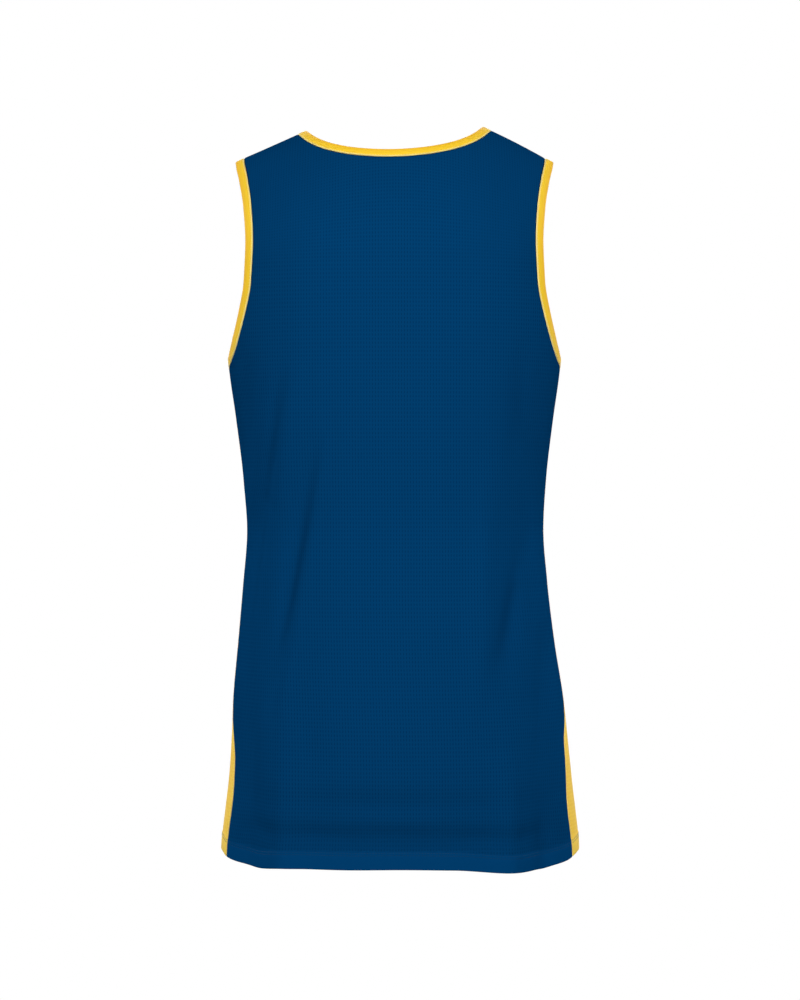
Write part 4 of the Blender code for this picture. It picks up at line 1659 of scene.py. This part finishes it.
@dataclass(frozen=True)
class SidePanel(ClothShell):
    """The strip under the arm, from the armhole to the hem.

    Attributes:
        hand: The wearer's side.
        columns: Cells across the strip.
        stitch_inset: Distance of the edge stitches from the seams, in mm.
        thread_radius: Half the thickness of the hem's thread, which stands out more on the pale knit.
    """

    hand: Hand = Hand.LEFT
    columns: int = 24
    stitch_inset: float = 1.5
    thread_radius: float = 0.3

    def across_side(self, angles: Array) -> Array:
        """Angles counted from this hand's side line as angles of the form."""
        return angles if self.hand is Hand.LEFT else math.pi - angles

    def places(self) -> Places:
        """The strip's places, row by row from the hem up, back seam to front seam.

        Returns:
            The places.
        """
        form = self.form
        back = "back_left" if self.hand is Hand.LEFT else "back_right"
        corners = (form.corner_level(back), form.corner_level("front"))
        ends = [float(form.seam_angle(top, name)) for top, name in zip(corners, (back, "front"))]
        tops = form.armhole_level(np.linspace(*ends, self.columns + 1))
        tops[0], tops[-1] = corners
        rows = []
        for share in self.rows_above_hem(corners[0] - form.hem_side):
            ends = [form.seam_place(share, top, column, self.across_side)
                    for column, top in zip((back, "front"), corners)]
            placed = self.across_side(np.linspace(*ends, self.columns + 1))
            hem = form.hem_level(placed)
            rows.append(Places(placed, hem + share * (tops - hem)))
        return self.refine(Places.stacked(rows))

    def build(self, wardrobe: Wardrobe) -> None:
        """Makes the strip, its hem stitches and the edge stitches beside its seams.

        Args:
            wardrobe: Where the materials come from.
        """
        places = self.places()
        self.shell(wardrobe, places)
        self.hem_stitches(wardrobe, places)
        self.edge_stitches(wardrobe, places)

    def edge_stitches(self, wardrobe: Wardrobe, places: Places) -> None:
        """Sews a row on the outer face just inside each of the two long seams.

        Args:
            wardrobe: Where the materials come from.
            places: The strip's places, row by row from the hem up.
        """
        book = MeshBook()
        rows = self.above_hem(places)[:, 0] > self.hem_band + self.hem_step
        points = self.form.surface(*places)[rows]
        for way in (1, -1):
            length = run_along(points[:, ::way], 1)
            strip = places.part(np.s_[rows, ::way])
            line = Places(*(np.array([np.interp(self.stitch_inset, *row) for row in zip(length, values)])
                            for values in strip))
            normals = self.form.normals(self.form.cloth, line)
            dip = self.roll_depth * (1.0 - self.stitch_inset / self.roll_reach) ** 2
            StitchRow().add(book, self.form.cloth(*line) - normals * dip, normals)
        dress(book.build(self.name + "_edge_stitches", [wardrobe.take(THREAD_YELLOW)]), self.slot)


@dataclass(frozen=True)
class FoldedBinding:
    """A strip folded over an edge of the jersey, reaching out from its seam, with its edge stitches.

    Attributes:
        form: The surface that the seam lies on.
        name: Name of the solid that it stands for.
        centre: A place in the middle of the opening, in mm.
        flat: Width and length of the flat strip, in metres; not used.
        finish: What it is made of.
        wall: Thickness of the cloth in its fold, in mm as all below.
        stitch_reach: Distance of the stitches from the seam.
        stitch_rise: Height of their groove above the strip's middle.
    """

    form: JerseyForm
    name: str
    centre: tuple[float, float, float]
    flat: tuple[float, float]
    finish: ElasticBinding = BINDING_YELLOW
    wall: float = 1.5
    stitch_reach: float = 1.5
    stitch_rise: float = 0.9

    def section(self) -> tuple[Array, Array]:
        """Outline of the folded strip: how far out from the seam, and how far above its middle.

        Returns:
            The two, in mm, from the seam round the fold and back to it.
        """
        half = ((0.15, 0.55), (0.5, 0.9), (1.0, 1.05), (self.stitch_reach, self.stitch_rise), (2.1, 1.12),
                (3.2, 1.2), (4.8, 1.22), (6.4, 1.2), (7.8, 1.12), (8.8, 0.95), (9.4, 0.7), (9.8, 0.35),
                (10.0, 0.0))
        reach, rise = np.array(half).T
        return np.concatenate([reach, reach[-2::-1]]), np.concatenate([rise, -rise[-2::-1]])

    def build(self, wardrobe: Wardrobe, places: Places) -> None:
        """Makes the binding.

        Args:
            wardrobe: Where the materials come from.
            places: The seam all round, without its first place again.
        """
        normals = self.form.normals(self.form.cloth, places)
        seam = self.form.cloth(*places) - normals * self.wall / 2
        tangent = unit(np.roll(seam, -1, axis=0) - np.roll(seam, 1, axis=0))
        normals = unit(normals - tangent * np.sum(normals * tangent, axis=1, keepdims=True))
        outward = np.cross(tangent, normals)
        turned = bool(np.sum(outward * (np.array(self.centre) - seam)) < 0.0)
        if turned:
            outward = -outward
        reach, rise = self.section()
        points = seam[:, None] + outward[:, None] * reach[:, None] + normals[:, None] * rise[:, None]
        length = run_along(np.concatenate([seam, seam[:1]]))
        book = MeshBook()
        numbers = book.add_points(points, np.broadcast_to(reach, points.shape[:2]))
        closed = np.concatenate([numbers, numbers[:1]])
        closed = np.concatenate([closed, closed[:, :1]], axis=1)
        outline = np.stack([reach, rise], axis=-1)
        round_strip = run_along(np.concatenate([outline, outline[:1]]))
        cut = np.stack(np.meshgrid(length, round_strip, indexing="ij"), axis=-1) * MM
        book.add_cells(closed, cut, 0, not turned)
        strip = book.build(self.name + "_strip", [wardrobe.take(self.finish)])
        piece = dress(strip, "binding_yellow", self.name)
        self.edge_stitches(wardrobe, seam, normals, outward)

    def edge_stitches(self, wardrobe: Wardrobe, seam: Array, normals: Array, outward: Array) -> None:
        """Sews the strip down beside its seam, on both faces.

        Args:
            wardrobe: Where the material comes from.
            seam: Points along the middle of the seam, in mm.
            normals: Outward normals of the cloth there.
            outward: Directions from the seam to the strip's fold.
        """
        book = MeshBook()
        for way in (1.0, -1.0):
            line = seam + outward * self.stitch_reach + normals * self.stitch_rise * way
            line, facing = (np.concatenate([a, a[:1]]) for a in (line, normals * way))
            StitchRow().add(book, line, facing)
        dress(book.build(self.name + "_stitches", [wardrobe.take(THREAD_YELLOW)]), "binding_yellow")


@dataclass(frozen=True)
class Jersey:
    """The whole jersey: two body panels, two side panels and three bindings.

    Attributes:
        form: The surface that all of them lie on.
        edge_places: Places along each half of an armhole and of the neck.
        under_places: Places along the armhole's lowest stretch, between the side seams.
        neck_centre: A place in the middle of the neck opening, in mm.
        armhole_centre: The same of the armhole at the wearer's left.
    """

    form: JerseyForm = JerseyForm()
    edge_places: int = 110
    under_places: int = 12
    neck_centre: tuple[float, float, float] = (0.0, 0.0, -20.0)
    armhole_centre: tuple[float, float, float] = (165.0, 0.0, -140.0)

    def armhole_loop(self, hand: Hand) -> Places:
        """Places all round an armhole: up the back, down the front, back under the arm.

        Args:
            hand: The wearer's side.

        Returns:
            The places, without the first one again.
        """
        form = self.form
        column = "back_left" if hand is Hand.LEFT else "back_right"
        corners = (form.corner_level(column), form.corner_level("front"))
        back = np.linspace(corners[0], form.ridge_level, self.edge_places)
        front = np.linspace(form.ridge_level, corners[1], self.edge_places)[1:]
        ends = (float(form.seam_angle(corners[1], "front")), float(form.seam_angle(corners[0], column)))
        under = np.linspace(*ends, self.under_places)[1:-1]
        angle = np.concatenate([form.armhole_angle(back, Face.BACK), form.armhole_angle(front, Face.FRONT),
                                under])
        level = np.concatenate([back, front, form.armhole_level(under)])
        return Places(angle if hand is Hand.LEFT else math.pi - angle, level)

    def neck_loop(self) -> Places:
        """Places all round the neck seam.

        Returns:
            The places, without the first one again.
        """
        shares = np.linspace(0.0, 1.0, self.edge_places + 1)
        back, front = (self.form.neck_line(face, shares) for face in Face)
        return Places(*(np.concatenate([a, b[-2:0:-1]]) for a, b in zip(back, front)))

    def build(self) -> None:
        """Builds and dresses every piece."""
        wardrobe = Wardrobe()
        navy, yellow = (KNIT_NAVY, HEM_NAVY), (KNIT_YELLOW, HEM_YELLOW)
        back = BodyPanel(self.form, "back_panel", navy, yellow, "mesh_knit_navy", (0.45, 0.80), 0.29)
        back.build(wardrobe)
        front = BodyPanel(self.form, "front_panel", navy, yellow, "mesh_knit_navy", (0.45, 0.80), 0.262,
                          face=Face.FRONT, neck_cells=92, shoulder_cells=14)
        front.build(wardrobe)
        for hand in Hand:
            side = SidePanel(self.form, "side_panel_" + hand.name.lower(), yellow, navy, "mesh_knit_yellow",
                             (0.09, 0.50), 0.019, hand=hand)
            side.build(wardrobe)
        neck = FoldedBinding(self.form, "neck_binding", self.neck_centre, (0.012, 0.58))
        neck.build(wardrobe, self.neck_loop())
        x, y, z = self.armhole_centre
        for hand in Hand:
            armhole = FoldedBinding(self.form, "armhole_binding_" + hand.name.lower(),
                                    (x * hand.value, y, z), (0.012, 0.53))
            armhole.build(wardrobe, self.armhole_loop(hand))


class Softbox(NamedTuple):
    """A square softbox that faces a place on the jersey's middle line.

    Attributes:
        name: Its name.
        at: Its place, in metres.
        size: Length of a side, in metres.
        power: In watts.
        spread: Opening of its grid, in degrees. The narrower, the sooner the light fades from its aim.
        aim_level: Height that it is aimed at, in metres.
    """

    name: str
    at: tuple[float, float, float]
    size: float
    power: float
    spread: float
    aim_level: float


SOFTBOXES = (
    Softbox("back_key_softbox", (0.0, 2.9, 0.35), 1.2, 9.9, 70.0, -0.27),
    Softbox("back_top_softbox", (0.0, 1.7, 1.15), 1.0, 2.8, 90.0, -0.27),
    Softbox("front_key_softbox", (0.0, -2.9, 0.35), 1.2, 5.2, 70.0, -0.27),
    Softbox("front_top_softbox", (0.0, -1.7, 1.15), 1.0, 2.8, 90.0, -0.27),
    Softbox("left_side_softbox", (1.6, -0.95, 0.2), 0.8, 1.9, 40.0, -0.6),
    Softbox("right_side_softbox", (-1.6, -0.95, 0.2), 0.8, 1.9, 40.0, -0.6),
)


@dataclass(frozen=True)
class Studio:
    """Camera, floor and soft light, in metres.

    The 90 mm lens stands level behind the jersey, 2.6 m from its middle. A long lens keeps the sides
    almost upright, as in a catalogue picture, and gives the eye the whole jersey on plain white.

    Attributes:
        camera_at: Place of the camera.
        lens: Its focal length, in mm.
        sensor: Width of its sensor, in mm.
        floor_level: Height of the floor, well below the jersey.
        floor_radius: Its radius.
        floor_corners: Corners of its rim.
        ambient: Strength of the surroundings as a light.
    """

    camera_at: tuple[float, float, float] = (-0.0057, 2.6, -0.3817)
    lens: float = 90.0
    sensor: float = 36.0
    floor_level: float = -2.0
    floor_radius: float = 2.9
    floor_corners: int = 96
    ambient: float = 0.1

    def add_camera(self) -> None:
        """Makes the camera and sets it as the scene's."""
        data = bpy.data.cameras.new("camera")
        data.lens = self.lens
        data.sensor_width = data.sensor_height = self.sensor
        camera = bpy.data.objects.new("camera", data)
        camera.location = self.camera_at
        camera.rotation_euler = (math.radians(90.0), 0.0, math.radians(180.0))
        bpy.context.scene.collection.objects.link(camera)
        bpy.context.scene.camera = camera

    def add_softbox(self, box: Softbox) -> None:
        """Adds a softbox.

        Args:
            box: Its sizes and place.
        """
        data = bpy.data.lights.new(box.name, "AREA")
        data.size = box.size
        data.energy = box.power
        data.spread = math.radians(box.spread)
        lamp = bpy.data.objects.new(box.name, data)
        lamp.location = box.at
        aim = Vector((0.0, 0.0, box.aim_level)) - lamp.location
        lamp.rotation_euler = aim.to_track_quat("-Z", "Y").to_euler()
        bpy.context.scene.collection.objects.link(lamp)

    def add_floor(self) -> None:
        """Adds the round pale floor."""
        turn = np.linspace(0.0, 2.0 * math.pi, self.floor_corners, endpoint=False)
        rim = np.stack([np.cos(turn), np.sin(turn), np.zeros_like(turn)], axis=1) * self.floor_radius
        mesh = bpy.data.meshes.new("studio_floor")
        mesh.from_pydata((rim + [0.0, 0.0, self.floor_level]).tolist(), [], [list(range(len(turn)))])
        mesh.materials.append(StudioFloor().build())
        floor = bpy.data.objects.new("studio_floor", mesh)
        bpy.context.scene.collection.objects.link(floor)

    def add_world(self) -> None:
        """White surroundings: full white to the camera and in reflections, and dim as a light."""
        world = bpy.data.worlds.new("white_surroundings")
        world.use_nodes = True
        tree = world.node_tree
        tree.nodes.clear()
        strength = add_node(tree, "ShaderNodeMapRange", {"To Min": self.ambient, "To Max": 1.0},
                            {"Value": seen_or_mirrored(tree)})
        light = add_node(tree, "ShaderNodeBackground", {"Color": (1.0, 1.0, 1.0, 1.0)},
                         {"Strength": strength.outputs["Result"]})
        add_node(tree, "ShaderNodeOutputWorld", links={"Surface": light.outputs["Background"]})
        bpy.context.scene.world = world

    def build(self) -> None:
        """Sets up the studio."""
        bpy.context.scene.view_settings.view_transform = "Standard"
        self.add_camera()
        self.add_world()
        self.add_floor()
        for box in SOFTBOXES:
            self.add_softbox(box)


def main() -> None:
    """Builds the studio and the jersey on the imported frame."""
    logging.basicConfig(level=logging.INFO, format="%(message)s")
    Studio().build()
    Jersey().build()


if __name__ == "__main__":
    main()
